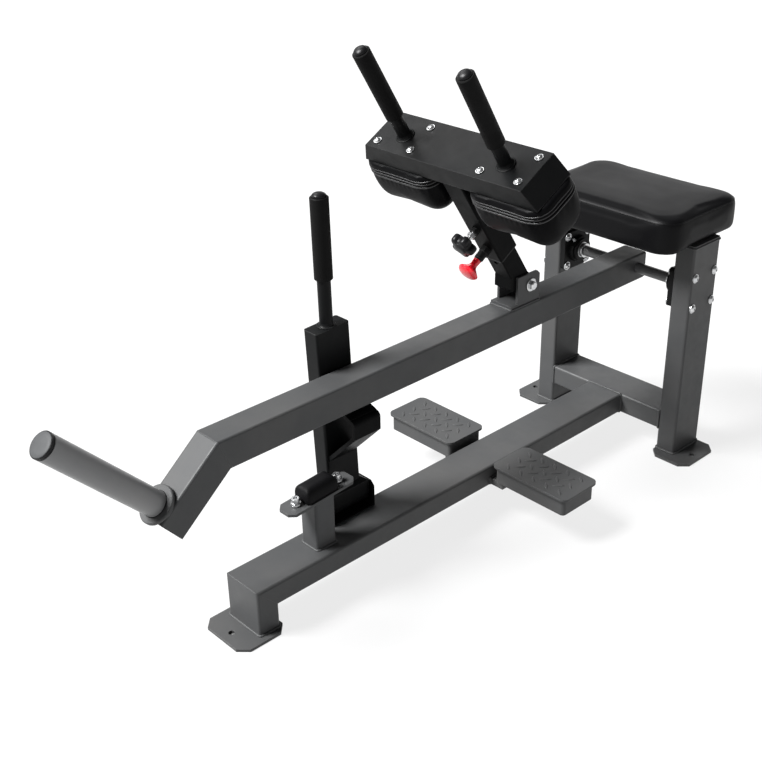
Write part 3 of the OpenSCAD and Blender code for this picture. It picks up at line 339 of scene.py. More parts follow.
# %% Black vinyl
def vinyl(name, level, gloss, shine):
    """Embossed black upholstery vinyl."""
    material, tree, shader, place = start_finish(name, Specular_IOR_Level=shine)
    pull = grain(tree, place, 6, 3, 0.5)
    feed(tree, shader.inputs["Base Color"],
         ramp(tree, pull, (0.3, linear(level - 2, level - 2, level - 1)),
              (0.7, linear(level + 3, level + 3, level + 4))))
    feed(tree, shader.inputs["Roughness"], spread(tree, pull, gloss + 0.06, gloss - 0.05))
    pebbles = add_node(tree, "TexVoronoi", {"Vector": place, "Scale": 480.0},
                       feature="SMOOTH_F1").outputs["Distance"]
    pores = grain(tree, place, 1500, 2, 0.5)
    leather = bump(tree, pebbles, 0.3, 0.35 * MM)
    feed(tree, shader.inputs["Normal"], bump(tree, pores, 0.12, 0.15 * MM, leather))
    return material


seat_vinyl = vinyl("seat_vinyl", 6, 0.4, 0.08)
knee_vinyl = vinyl("knee_vinyl", 6, 0.42, 0.035)
# A lighter, shinier copy of the black vinyl: painted highlight along the cords.
highlit_piping_vinyl = vinyl("highlit_piping_vinyl", 24, 0.34, 0.35)
print("vinyls", [m.name for m in bpy.data.materials if "vinyl" in m.name])

# %% [markdown]
# ## Dressing the steel
#
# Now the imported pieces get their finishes. Their shapes are right as they are, so only
# their material slots change. One table says which finish goes on which pieces, which
# makes it easy to see that none has been left out.

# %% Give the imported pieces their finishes
def dress(finish, names):
    """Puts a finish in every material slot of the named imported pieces."""
    for name in names.split():
        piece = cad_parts[name]
        if not piece.material_slots:
            piece.data.materials.append(finish)
        for place in piece.material_slots:
            place.material = finish
        dressed.add(name)


dressed = set()
dress(frame_paint, """base_beam front_post front_foot_plate rear_cross_beam left_leg right_leg
    left_foot_plate right_foot_plate left_rest_arm right_rest_arm left_rest_box right_rest_box
    left_tread_plate right_tread_plate stop_post bumper_plate left_seat_plate right_seat_plate
    lever_arm lever_nose horn_collar pad_clevis""")
dress(lit_horn_paint, "weight_horn")
dress(black_paint, """catch_arm catch_hub catch_handle pad_carrier pull_pin_barrel
    left_handle right_handle""")
dress(shaded_black_paint, "pad_sleeve pad_post catch_bracket catch_hook")
dress(cast_black, "left_bearing_housing right_bearing_housing")
dress(zinc, """bumper_bolts catch_pivot_bolt bearing_bolts seat_bolts clevis_bolt knee_pad_bolts
    bearing_rings""")
dress(shaft_paint, "axle")
dress(bumper_rubber, "bumper_block")
dress(grip_rubber, "left_handle_grip right_handle_grip catch_grip")
dress(black_plastic, "lever_tail_cap horn_cap sleeve_liner clamp_knob handle_plugs catch_plug")
dress(red_plastic, "pull_pin")
dress(board_wood, "seat_board knee_pad_boards")
dress(seat_vinyl, "seat_pad")
dress(knee_vinyl, "left_knee_pad right_knee_pad")
print("not dressed:", sorted(set(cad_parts) - dressed))

# %% [markdown]
# ## Where things are
#
# Half of this machine leans: the pad carrier, its post, the front of the lever, the horn,
# the catch and the bumper's plate. Points on them are easiest to give in their own upright
# frames, so each frame is written once as a matrix, with the same turns that the
# construction uses.

# %% Frames of the leaning parts
def turned_about_x(degrees):
    return Matrix.Rotation(math.radians(degrees), 4, "X")


def moved(x, y, z):
    return Matrix.Translation(Vector((x, y, z)) * MM)


CARRIER = moved(0, -576.28, 837) @ turned_about_x(29.5)
POST = moved(0, -592.81, 827.64) @ turned_about_x(33)
DROP = moved(0, -1201, 454.5) @ turned_about_x(40)
HORN = DROP @ moved(0, -147, 0) @ turned_about_x(3.5)
CATCH = moved(-58.5, -851, 140) @ turned_about_x(2.4)
CATCH_TOP = CATCH @ moved(0, 0, 399.35) @ turned_about_x(-1.4)
STOP = moved(0, -959, 223.92) @ turned_about_x(4)
CLEVIS_BOLT = moved(0, -366, 496.5) @ Matrix.Rotation(math.pi / 2, 4, "Y")
SLEEVE_FACE = 27
PIN_DOWN = 251
CLAMP_DOWN = 191
HORN_LONG = 278


def handle_frame(side):
    """Foot of a carrier handle; side is -1 for left and 1 for right."""
    return CARRIER @ moved(side * 134, -3, -1) @ turned_about_x(2)


def outward(down):
    """Frame on the sleeve's front face, +Z straight out, so far down the post."""
    return POST @ moved(0, -SLEEVE_FACE, -down) @ turned_about_x(90)


print("knob axis points to", [round(v, 3) for v in outward(CLAMP_DOWN).col[2][:3]])

# %% [markdown]
# ## Making pieces from numbers
#
# Three ways of making a mesh cover nearly everything here. A turned piece is a profile
# spun round an axis, as on a lathe. A swept piece is a round section carried along a
# line, which gives piping and weld beads. A lofted piece joins rings of equal count, one
# above the other, which gives the cushions and the star knob. All of them only need a
# list of rings, so one function skins rings and the rest prepare them.

# %% Skin rings and make a piece
def make_piece(name, points, faces, finish, body, slot, smooth=True):
    """Mesh object from points in metres in the row frame, riding on a body."""
    mesh = bpy.data.meshes.new(name)
    mesh.from_pydata([tuple(p) for p in points], [], faces)
    mesh.validate()
    mesh.polygons.foreach_set("use_smooth", [smooth] * len(mesh.polygons))
    mesh.materials.append(finish)
    piece = bpy.data.objects.new(name, mesh)
    scene.collection.objects.link(piece)
    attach(piece, body)
    return piece


def skin(rings, closed_path=False, caps=True):
    """Points and faces of a skin over rings of equal count."""
    count = len(rings[0])
    points = [p for loop in rings for p in loop]
    rows = len(rings)
    faces = []
    for i in range(rows if closed_path else rows - 1):
        a, b = i * count, (i + 1) % rows * count
        faces += [(a + j, a + (j + 1) % count, b + (j + 1) % count, b + j) for j in range(count)]
    if caps and not closed_path:
        faces.append(tuple(reversed(range(count))))
        faces.append(tuple(range((rows - 1) * count, rows * count)))
    return points, faces


def ring(place, reach, height, steps=64):
    """Points round the Z axis of place; reach is a radius or gives one for each angle."""
    points = []
    for k in range(steps):
        a = 2 * math.pi * k / steps
        r = reach(a) if callable(reach) else reach
        points.append(place @ (Vector((r * math.cos(a), r * math.sin(a), height)) * MM))
    return points


print("a ring of 4 points:", [[round(v, 3) for v in p] for p in ring(HORN, 25, 0, 4)])

# %% [markdown]
# ### Sweeping along a line
#
# A cord or a weld bead is a round section that follows a line. Blender's curves can do
# that with a bevel, but a bead has to swell and shrink as it goes. So the rings are placed
# one by one: at every point one vector runs along the line, and two at right angles to it
# span the ring. Points an even distance apart keep the rings from bunching in corners.

# %% Rings along a line
def sweep_rings(path, upright, radius, sides=10, closed=True, lean=0.0):
    """Rings of a round section along a path; radius may be one number or one per point."""
    path = np.array([tuple(p) for p in path], float)
    if closed:
        along = np.roll(path, -1, 0) - np.roll(path, 1, 0)
    else:
        along = np.gradient(path, axis=0)
    along /= np.linalg.norm(along, axis=1)[:, None]
    side = np.cross(along, np.array(tuple(upright), float))
    side /= np.linalg.norm(side, axis=1)[:, None]
    over = np.cross(side, along)
    radius = np.broadcast_to(np.asarray(radius, float), (len(path),))[:, None]
    rings = []
    for k in range(sides):
        a = 2 * math.pi * k / sides
        rings.append(path + radius * (math.cos(a) * side + math.sin(a) * over
                                      + lean * abs(math.sin(a)) * along))
    return [[loop[i] for loop in rings] for i in range(len(path))]


def evenly(path, spacing, closed=True):
    """The same line with points an even distance apart, and the distance of each."""
    path = np.array([tuple(p) for p in path], float)
    if closed:
        path = np.vstack([path, path[:1]])
    reach = np.concatenate([[0], np.cumsum(np.linalg.norm(np.diff(path, axis=0), axis=1))])
    count = max(8, int(round(reach[-1] / spacing)))
    at = np.linspace(0, reach[-1], count, endpoint=not closed)
    return np.stack([np.interp(at, reach, path[:, i]) for i in range(3)], 1), at


print("a metre in steps of 0.3:", evenly([(0, 0, 0), (1, 0, 0)], 0.3, closed=False)[1].round(2))

# %% [markdown]
# ## Weld beads
#
# Where two tubes meet, a welder lays a bead of steel in the corner, a puddle at a time,
# and the paint covers it. The bead could be a bump map, but it is what softens every
# inside corner of the frame, so it is real geometry: a round section of about three
# millimetres, carried round the joint, that swells once for every puddle.

# %% One weld bead
PUDDLE = 4.2 * MM


def rounded_loop(width, depth, radius, steps=6):
    """Corner points of a rounded rectangle in millimetres, anticlockwise."""
    points = []
    for quarter, (sx, sy) in enumerate(((1, 1), (-1, 1), (-1, -1), (1, -1))):
        for k in range(steps + 1):
            a = math.pi / 2 * (quarter + k / steps)
            points.append((sx * (width / 2 - radius) + radius * math.cos(a),
                           sy * (depth / 2 - radius) + radius * math.sin(a)))
    return points


def weld(name, path, upright, size, body="frame", finish=None, closed=True, slot="frame_paint"):
    """Rippled bead along a path in metres; size is its radius in millimetres."""
    line, at = evenly(path, PUDDLE / 4, closed)
    wander = np.array([noise.noise(Vector((d * 60, size, len(name)))) for d in at])
    swell = size * MM * (0.84 + 0.16 * np.abs(np.sin(np.pi * at / PUDDLE)) + 0.1 * wander)
    if not closed:
        swell[0] *= 0.4
        swell[-1] *= 0.4
    rings = sweep_rings(line, upright, swell, 8, closed, 0.35)
    return make_piece(name, *skin(rings, closed), finish or frame_paint, body, slot)


# %% Beads round the square tubes
X, Y, Z = Vector((1, 0, 0)), Vector((0, 1, 0)), Vector((0, 0, 1))


def flat_loop(centre, u, v, width, depth, radius=6):
    """Rounded loop about a centre in millimetres, spanned by the axes u and v."""
    u, v = Vector(u), Vector(v)
    return [(Vector(centre) + u * p + v * q) * MM for p, q in rounded_loop(width, depth, radius)]


for side, word in ((-1, "left"), (1, "right")):
    weld(f"{word}_foot_weld", flat_loop((side * 187, 19, 6.4), X, Y, 51, 101), Z, 3.3)
    weld(f"{word}_cross_weld", flat_loop((side * 162, 19, 83), Y, Z, 100, 50), X, 3.0)
    weld(f"{word}_seat_plate_weld", flat_loop((side * 187, 19, 531.4), X, Y, 51, 101), Z, 2.4)
    weld(f"{word}_rest_weld", flat_loop((side * 50.4, -458, 71.5), Y, Z, 93, 15, 1), X, 3.2)
weld("front_foot_weld", flat_loop((0, -1132, 6.4), X, Y, 101, 51), Z, 3.3)
weld("beam_end_weld", flat_loop((0, -31, 83), X, Z, 100, 50), Y, 3.0)
weld("stop_foot_weld", flat_loop((0, -959, 108.4), X, Y, 51, 51), Z, 3.0)
weld("clevis_weld", flat_loop((0, -383, 454.8), X, Y, 59, 91, 2), Z, 2.6, "lever")
for name, y, z, half, size, body in (("front_corner_seam", -1155.4, 106.4, 45, 2.2, "frame"),
                                     ("inner_corner_seam", -1106.4, 57.4, 45, 2.6, "frame"),
                                     ("bend_seam", -1201, 453.1, 28, 1.9, "lever")):
    weld(name, [Vector((x, y, z)) * MM for x in (-half, half)], Z, size, body, closed=False)

# %% Beads round the horn and the handles
weld("horn_weld", ring(HORN, 30.5, -0.6), HORN.col[2][:3], 3.2, "lever")
for side, word in ((-1, "left"), (1, "right")):
    foot = handle_frame(side)
    weld(f"{word}_handle_weld", ring(foot, 18.4, 1.7), foot.col[2][:3], 2.0,
         "pad_column", black_paint, slot="black_paint")
weld("catch_handle_weld", ring(CATCH_TOP, 18.0, 1.4), CATCH_TOP.col[2][:3], 2.0,
     "catch", black_paint, slot="black_paint")

# %% [markdown]
# ## Tread plates
#
# The foot rests are cut from rolled tread plate, whose raised lozenges lie crosswise in
# two directions and stop a shoe from slipping. A bump map would vanish at the plate's
# outline and in the light that skims over it, so each lozenge is a small bar of its own:
# a pointed outline, a sloping flank and a slightly smaller flat top.

# %% Raised lozenges on both foot rests
TREAD_TOP = 122.0
LOZENGE_LONG, LOZENGE_WIDE, LOZENGE_HIGH = 27.0, 7.0, 1.3
LOZENGE_PITCH = 36.0
REST_MIDDLE = (165.5, -458.0)
REST_SIZE = (207.0, 115.0)


def lozenge_ring(x, y, angle, share, z, steps=7):
    """Pointed outline of one lozenge at a height, scaled by share."""
    long, wide = LOZENGE_LONG / 2 * share, LOZENGE_WIDE / 2 * share
    outline = []
    for flip in (1, -1):
        for k in range(steps):
            t = -1 + 2 * k / steps
            outline.append((flip * t * -long, flip * wide * (1 - t * t)))
    c, s = math.cos(angle), math.sin(angle)
    return [Vector((x + p * c - q * s, y + p * s + q * c, z)) * MM for p, q in outline]


def tread_pattern(name, side):
    points, faces, made = [], [], 0
    half_w, half_d = REST_SIZE[0] / 2 - 6, REST_SIZE[1] / 2 - 6
    for i in range(-7, 8):
        for j in range(-5, 6):
            if (i + j) % 2:
                continue
            x, y = i * LOZENGE_PITCH / 2, j * LOZENGE_PITCH / 2
            angle = math.pi / 4 if i % 2 else -math.pi / 4
            reach = LOZENGE_LONG / 2 * math.cos(math.pi / 4)
            if abs(x) + reach > half_w or abs(y) + reach > half_d:
                continue
            here = (side * REST_MIDDLE[0] + x, REST_MIDDLE[1] + y)
            rings = [lozenge_ring(*here, angle, share, TREAD_TOP + z)
                     for share, z in ((1.0, -0.4), (0.97, 0.35), (0.78, 0.9 * LOZENGE_HIGH),
                                      (0.6, LOZENGE_HIGH))]
            p, f = skin(rings)
            faces += [tuple(index + len(points) for index in face) for face in f]
            points += p
            made += 1
    make_piece(name, points, faces, frame_paint, "frame", "frame_paint")
    return made


print("lozenges", tread_pattern("left_tread_pattern", -1), tread_pattern("right_tread_pattern", 1))

# %% [markdown]
# ## Cushions
#
# A gym cushion is a board with foam on it and vinyl pulled over both. The foam pushes out,
# the cover holds it in, and the result is flat nowhere except on its board. A cube with
# rounded edges would show the same outline all the way up, so the cushion starts as a
# loft: one outline for every height, whose sides draw in a little between the corners.

# %% Lofted shell of a cushion
def cushion_outline(width, depth, radius, pull, steps=8):
    """Rounded rectangle whose sides draw in by pull between the corners."""
    points = rounded_loop(width, depth, radius, steps)
    outline = []
    for k, p in enumerate(points):
        outline.append(p)
        if k % (steps + 1) == steps:
            q = points[(k + 1) % len(points)]
            middle = Vector(((p[0] + q[0]) / 2, (p[1] + q[1]) / 2))
            across = Vector((q[1] - p[1], p[0] - q[0])).normalized()
            inward = across if across.dot(middle) < 0 else -across
            for j in range(1, 10):
                t = j / 10
                here = Vector(p).lerp(Vector(q), t) + inward * pull * math.sin(math.pi * t)
                outline.append(tuple(here))
    return outline


def shell(name, place, size, radius, rings, pull, finish, body):
    """Closed cushion shell; rings are (height, inset) in millimetres from the board up."""
    width, depth = size
    loops = [[place @ (Vector((x, y, z)) * MM)
              for x, y in cushion_outline(width - 2 * inset, depth - 2 * inset,
                                          max(6, radius - 0.6 * inset), pull)]
             for z, inset in rings]
    return make_piece(name, *skin(loops), finish, body, "black_vinyl")


print("points in one outline:", len(cushion_outline(100, 60, 10, 1)))

# %% [markdown]
# ### Stuffing
#
# The foam's push has to be seen too. Moving the points about by hand gives a pillow from a
# cartoon; letting cloth with a little pressure inside settle for twenty steps gives the
# real, taut shape. The shell is first remeshed into even cells, because cloth folds badly
# on long thin faces. Its board side is held still, the small folds are smoothed away
# afterwards, and no point may travel far.

# %% Cloth under pressure
def settle(piece):
    """Turns whatever the modifiers make into the piece's own mesh."""
    graph = bpy.context.evaluated_depsgraph_get()
    final = bpy.data.meshes.new_from_object(piece.evaluated_get(graph))
    piece.modifiers.clear()
    piece.data = final
    final.polygons.foreach_set("use_smooth", [True] * len(final.polygons))


def coordinates(piece):
    flat = np.zeros(len(piece.data.vertices) * 3)
    piece.data.vertices.foreach_get("co", flat)
    return flat.reshape(-1, 3)


def stuff(piece, place, held_below, limit, voxel=5.0, pressure=4.0, calm=3, steps=20):
    """Remeshes the shell, blows it up as cloth held below held_below, and calms its folds."""
    grid = piece.modifiers.new("grid", "REMESH")
    grid.mode = "VOXEL"
    grid.voxel_size = voxel * MM
    ease = piece.modifiers.new("ease", "SMOOTH")
    ease.factor = 0.5
    ease.iterations = 6
    settle(piece)
    before = coordinates(piece)
    local = np.array([place.inverted() @ Vector(p) for p in before]) / MM
    held = piece.vertex_groups.new(name="held")
    held.add([int(i) for i in np.nonzero(local[:, 2] < held_below)[0]], 1.0, "REPLACE")
    cloth = piece.modifiers.new("stuffing", "CLOTH")
    cloth.settings.quality = 6
    cloth.settings.mass = 0.3
    cloth.settings.tension_stiffness = 15
    cloth.settings.compression_stiffness = 15
    cloth.settings.bending_stiffness = 1.2
    cloth.settings.use_pressure = True
    cloth.settings.uniform_pressure_force = pressure
    cloth.settings.vertex_group_mass = "held"
    cloth.settings.effector_weights.gravity = 0
    cloth.point_cache.frame_end = steps
    for step in range(1, steps + 1):
        scene.frame_set(step)
    settle(piece)
    scene.frame_set(1)
    smooth = piece.modifiers.new("calm", "SMOOTH")
    smooth.factor = 0.5
    smooth.iterations = calm
    settle(piece)
    after = coordinates(piece)
    travel = after - before
    far = np.linalg.norm(travel, axis=1)
    scale = np.minimum(1, limit * MM / np.maximum(far, 1e-9))
    piece.data.vertices.foreach_set("co", (before + travel * scale[:, None]).ravel())
    print(piece.name, "swelled by up to", round(far.max() * 1000, 1), "mm, kept",
          round((far * scale).max() * 1000, 1))


# %% [markdown]
# ### Seat
#
# The seat is wide and thin, with upright sides, a narrow rounded top edge and a slight
# crown. The cover is gathered in small pleats at the lower corners, where it is stapled
# under the board. Cloth would need a board and staples to fold like that, so the pleats
# are a formula that moves each point a little, after the simulation.

# %% Seat cushion
SEAT = moved(0, 19, 537.4)
SEAT_SIZE = (414, 284)
SEAT_CORNER = 50
SEAT_TOP = 74

seat_rings = [(0, 4), (2, 1), (8, 0), (30, 0), (52, 0), (SEAT_TOP - 13, 0), (SEAT_TOP - 8, 1.2),
              (SEAT_TOP - 4, 4), (SEAT_TOP - 1.5, 9), (SEAT_TOP, 18), (SEAT_TOP + 2, 50),
              (SEAT_TOP + 3, 100)]
seat = shell("seat_cushion", SEAT, SEAT_SIZE, SEAT_CORNER, seat_rings, 1.5, seat_vinyl, "frame")
stuff(seat, SEAT, 5, 2.5, pressure=1.2, calm=12)


def reshape(piece, place, change):
    """Moves each point of the piece by change(local point in millimetres)."""
    back = place.inverted()
    for v in piece.data.vertices:
        local = back @ v.co / MM
        v.co = place @ ((local + change(local)) * MM)


def refine(piece):
    finer = piece.modifiers.new("finer", "SUBSURF")
    finer.levels = finer.render_levels = 1
    settle(piece)


def seat_pleats(p):
    """Gathers the cover at the lower corners, and lets the front's lower edge sag a little."""
    out = Vector((p.x, p.y, 0)).normalized()
    corner = min(1, max(0, (abs(p.x) - 150) / 50)) * min(1, max(0, (abs(p.y) - 85) / 50))
    low = max(0, 1 - p.z / 34)
    angle = math.atan2(abs(p.y) - 92, abs(p.x) - 157)
    pleat = -1.3 * corner * low * (0.5 + 0.5 * math.sin(angle * 14))
    sag = min(1, max(0, (-p.y - 62) / 45)) * max(0, 1 - p.z / 45)
    return out * pleat + Vector((0, 0, -7 * sag * sag))


reshape(seat, SEAT, seat_pleats)
refine(seat)
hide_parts("seat_pad")
print("seat", [round(v / MM) for v in seat.dimensions])

# %% [markdown]
# ### Seams and cords
#
# A seam follows the finished cover, which no longer has the outline that it was lofted
# from. Its line could be drawn again by hand, but it is surer to feel for it: rays are shot
# from far outside at the cushion's middle, all at one height, and where they hit the cover
# is the line. A little smoothing takes out the steps, and a cord is swept along it.

# %% Find a girth and sew the seat's seam
FAR_OUT = 600


def girth(piece, place, height, count, lift):
    """Line round the cushion's side at a height, found by count rays shot at its middle."""
    tree = BVHTree.FromPolygons([v.co.copy() for v in piece.data.vertices],
                                [tuple(p.vertices) for p in piece.data.polygons])
    aim = place @ (Vector((0, 0, height)) * MM)
    found = []
    for start in ring(place, FAR_OUT, height, count):
        hit = tree.ray_cast(start, (aim - start).normalized())[0]
        if hit is not None:
            local = place.inverted() @ hit / MM
            out = Vector((local.x, local.y, 0)).normalized() * lift
            found.append(place @ ((local + out) * MM))
    line = evenly(found, 4 * MM)[0]
    for _ in range(3):
        line = (np.roll(line, 1, 0) + 2 * line + np.roll(line, -1, 0)) / 4
    return line


def piping(name, line, upright, radius, body, finish=None):
    """Round cord sewn into the cover along a closed line."""
    rings = sweep_rings(line, upright, radius * MM, 10)
    return make_piece(name, *skin(rings, True), finish or highlit_piping_vinyl, body, "black_vinyl")


piping("seat_seam", girth(seat, SEAT, SEAT_TOP - 9, 260, -0.3), Z, 1.5, "frame", seat_vinyl)
print("seam", SEAT_TOP - 9, "mm above the board")

# %% [markdown]
# ### Knee pads
#
# Each knee pad hangs under the folded carrier and is nearly as deep as it is wide. Below
# the carrier's rim run a fine seam and two cords sewn in side by side, with a narrow band
# drawn in between them, and below them the foam bulges out and rolls under at the bottom.
# The pad is made upside down, on its board, because that is how it is upholstered.

# %% Knee pads with double piping
PAD_X = 144
PAD_SIZE = (196, 122)
PAD_CORNER = 36
PAD_DEEP = 115
BOARD_DOWN = 46.6
SEAM, FIRST_CORD, SECOND_CORD = 13.0, 20.0, 27.5

pad_rings = [(0, 5), (3, 1.5), (9, 0.5), (16, 0.5), (30, 0), (45, -1), (62, -0.5), (78, 1.5),
             (91, 5.5), (101, 12), (108, 20.5), (112.5, 32), (PAD_DEEP, 50)]


def pad_band(p):
    """Draws the cover in between the two cords, with small puckers below them."""
    out = Vector((p.x, p.y, 0)).normalized()
    band = math.exp(-((p.z - (FIRST_CORD + SECOND_CORD) / 2) / 3) ** 2)
    angle = math.atan2(p.y, p.x)
    pucker = 0.5 * math.sin(34 * angle) * math.exp(-((p.z - SECOND_CORD - 8) / 7) ** 2)
    return out * (-2.2 * band + pucker)


for side, word in ((-1, "left"), (1, "right")):
    pad_frame = CARRIER @ moved(side * PAD_X, 0, -BOARD_DOWN) @ turned_about_x(180)
    pad = shell(f"{word}_knee_cushion", pad_frame, PAD_SIZE, PAD_CORNER, pad_rings, 1.0,
                knee_vinyl, "pad_column")
    stuff(pad, pad_frame, 5, 3.0, voxel=4.5)
    reshape(pad, pad_frame, pad_band)
    refine(pad)
    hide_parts(f"{word}_knee_pad")
    down = pad_frame.col[2][:3]
    # The pad's seam and cords take the lighter piping vinyl, a painted highlight along them.
    for line, height, lift, radius in (("pad_seam", SEAM, 0.1, 1.2),
                                       ("upper_cord", FIRST_CORD, 0.5, 1.8),
                                       ("lower_cord", SECOND_CORD, 0.7, 2.1)):
        piping(f"{word}_{line}", girth(pad, pad_frame, height, 160, lift), down, radius,
               "pad_column")
    print(pad.name, [round(v / MM) for v in pad.dimensions])

# %% [markdown]
# ## Bumper
#
# The lever comes down on a block of rubber with generous round edges. A box with a bevel
# would have the same roundness all over, and rubber that was moulded is rounder on top
# than at its foot, so it is lofted the same way as the cushions, without the stuffing.
# Each of its two screws stands on a thick washer, a profile spun round as on a lathe.

# %% Bumper block and its washers
def turn(name, profile, place, finish, body, slot, steps=48):
    """Spins a profile of (radius, height) in millimetres round the Z axis of place."""
    rings = [ring(place, r, z, steps) for r, z in profile]
    return make_piece(name, *skin(rings), finish, body, slot)


buffer_rings = [(0.3, 1.2), (1.5, 0.2), (4, 0), (12, 0.3), (18, 0.8), (22, 1.8), (25.5, 3.6),
                (28.5, 6.2), (30.6, 9.4), (31.7, 13), (32, 17)]
buffer = shell("rubber_buffer", STOP, (46, 82), 8, buffer_rings, 0.3, bumper_rubber, "frame")
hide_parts("bumper_block")
thick_washer = [(5.3, 0.2), (9.6, 0.2), (10.0, 0.6), (10.0, 4.7), (9.6, 5.1), (5.3, 5.1)]
for end, word in ((-1, "front"), (1, "rear")):
    turn(f"{word}_buffer_washer", thick_washer, STOP @ moved(0, end * 54, 0), zinc, "frame",
         "zinc_steel", 40)
print("buffer", [round(v / MM) for v in buffer.dimensions])

# %% [markdown]
# ## Star knob
#
# The clamp knob is moulded with five lobes that roll over at both faces. A cylinder with
# five smaller ones round it would have hard edges and sharp valleys. Instead the distance
# of its edge is worked out for every angle, as a smooth blend of core and lobes, and drawn
# in a little more on each ring towards the faces, which rounds all of it at once.

# %% Star knob
LOBES = 5
LOBE_RING, LOBE_RADIUS, KNOB_CORE = 20.0, 9.0, 20.5
KNOB_ROUND = 28


def star_radius(angle):
    """Distance of the knob's edge from its axis at an angle."""
    step = 2 * math.pi / LOBES
    off = (angle - math.radians(54) + step / 2) % step - step / 2
    reach = LOBE_RADIUS ** 2 - (LOBE_RING * math.sin(off)) ** 2
    lobe = LOBE_RING * math.cos(off) + math.sqrt(reach) if reach > 0 else 0
    return math.log(math.exp(lobe * 0.9) + math.exp(KNOB_CORE * 0.9)) / 0.9 - 0.4


knob_rings = [(28.0, 18.5), (28.2, 17.6), (32.5, 16.4), (32.7, 7.0), (33.3, 3.4), (34.6, 1.4),
              (37.0, 0.2), (43.0, 0.0), (48.0, 0.3), (51.0, 1.5), (53.0, 3.8), (54.0, 7.0),
              (54.4, 12.0), (56.0, 15.0), (57.2, 18.0), (57.6, 21.0)]
out_frame = outward(CLAMP_DOWN)


def knob_edge(inset):
    """The knob's radius at an angle, drawn in by inset and rounder the more it is drawn in."""
    round_share = min(1, max(0, (inset - 4) / 8))
    return lambda a: (1 - round_share) * star_radius(a) + round_share * KNOB_ROUND - inset


knob_loops = [ring(out_frame, knob_edge(inset), height, 100) for height, inset in knob_rings]
star_knob = make_piece("star_knob", *skin(knob_loops), black_plastic, "clamp", "black_plastic")
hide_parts("clamp_knob")
print("star knob reaches", round(max(star_radius(k / 50) for k in range(315)), 1), "mm")

# %% [markdown]
# ### Stud and jam nut
#
# The knob turns a threaded stud, with a nut on it that keeps it from backing out. A true
# helix would be lost at this size, so the thread is turned: a profile that steps in and
# out by half a pitch. The nut is a loft too, of rings with only six points, and its faces
# stay flat.

# %% Stud and jam nut
STUD_RADIUS, THREAD_DEEP, HALF_PITCH = 5.0, 0.45, 0.75
thread = [(STUD_RADIUS - THREAD_DEEP * (k % 2), -2 + HALF_PITCH * k) for k in range(42)]
turn("clamp_stud", [(3.0, -3.6), (STUD_RADIUS, -2.6), *thread, (STUD_RADIUS, 30.0), (3.0, 30.0)],
     out_frame, zinc, "clamp", "zinc_steel")
hexes = [ring(out_frame, r, z, 6) for r, z in ((8.2, 13.0), (9.4, 13.8), (9.4, 19.2), (8.2, 20.0))]
make_piece("clamp_jam_nut", *skin(hexes), zinc, "clamp", "zinc_steel", smooth=False)
print("thread turns", len(thread) // 2, "pitch", 2 * HALF_PITCH)

# %% [markdown]
# ## Pin shaft and horn details
#
# Three small things that the eye looks for: the bright shaft of the pull pin between its
# barrel and its head, a thin black ring at the foot of the weight horn, which is painted
# shadow for the gap between horn and collar, and the pale face of the horn's black cap,
# which is a painted sheen on that face. They could be painted on, but their edges catch
# the light, so the shaft and the face are turned, and the ring is swept round the horn.

# %% Pin shaft, painted shadow ring at the horn and painted sheen on the cap
turn("pin_shaft", [(4.6, 18.0), (5.03, 18.4), (5.03, 34.0), (4.6, 34.2)], outward(PIN_DOWN), zinc,
     "plunger", "zinc_steel")
# A black ring as painted shadow in the gap between horn and collar.
shadow_ring_line = ring(HORN, 25.2, 10.6, 72)
make_piece("horn_shadow_ring", *skin(sweep_rings(shadow_ring_line, HORN.col[2][:3], 1.0 * MM, 8), True),
           black_plastic, "lever", "black_plastic")
# A pale grey disc as painted sheen on the black cap's face.
turn("cap_face_sheen", [(0.5, 6.9), (22.6, 6.9), (23.2, 7.6), (22.8, 8.0), (14.0, 8.3), (0.5, 8.4)],
     HORN @ moved(0, 0, HORN_LONG), cap_sheen_grey, "lever", "grey_plastic", 72)
print("cap face lies at", [round(v, 3) for v in (HORN @ moved(0, 0, HORN_LONG)).translation])

# %% [markdown]
# ## Clevis bolt
#
# One bolt goes through the clevis and the post's foot, with a hex head, a nut and flat
# washers. It could be put together from cylinders, but then they would only touch. Here it
# is one closed loft from end to end, in which each ring is either a circle or a hexagon:
# the ring function takes a radius that depends on the angle.

# %% Clevis bolt with hex ends and washers
hex_end = [(0.5, 40.0), (7.6, 40.0), (10.2, 38.4), (10.2, 32.0)]
flat_washer = [(13.8, 31.9), (14.8, 31.2), (14.8, 30.0), (14.0, 29.5), (5.0, 29.5)]


def hexagon(radius):
    """Distance of a hexagon's edge from its middle at an angle."""
    return lambda a: radius * math.cos(math.pi / 6) / math.cos(a % (math.pi / 3) - math.pi / 6)


half_bolt = [(hexagon(r), x) for r, x in hex_end] + flat_washer
bolt_rings = [ring(CLEVIS_BOLT, reach, x, 48)
              for reach, x in [(reach, -x) for reach, x in half_bolt] + half_bolt[::-1]]
cross_bolt = make_piece("clevis_cross_bolt", *skin(bolt_rings), zinc, "lever", "zinc_steel",
                        smooth=False)
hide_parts("clevis_bolt")
print("clevis bolt", [round(v / MM) for v in cross_bolt.dimensions])

# %% [markdown]
# ## Grease nipples
#
# Flange bearings are greased through a small nipple on the housing, which leans outward
# so that a grease gun can reach it. It is a few millimetres of hexagon, neck and ball. At
# this size a turned profile with the neck drawn in is enough to be known by its outline.

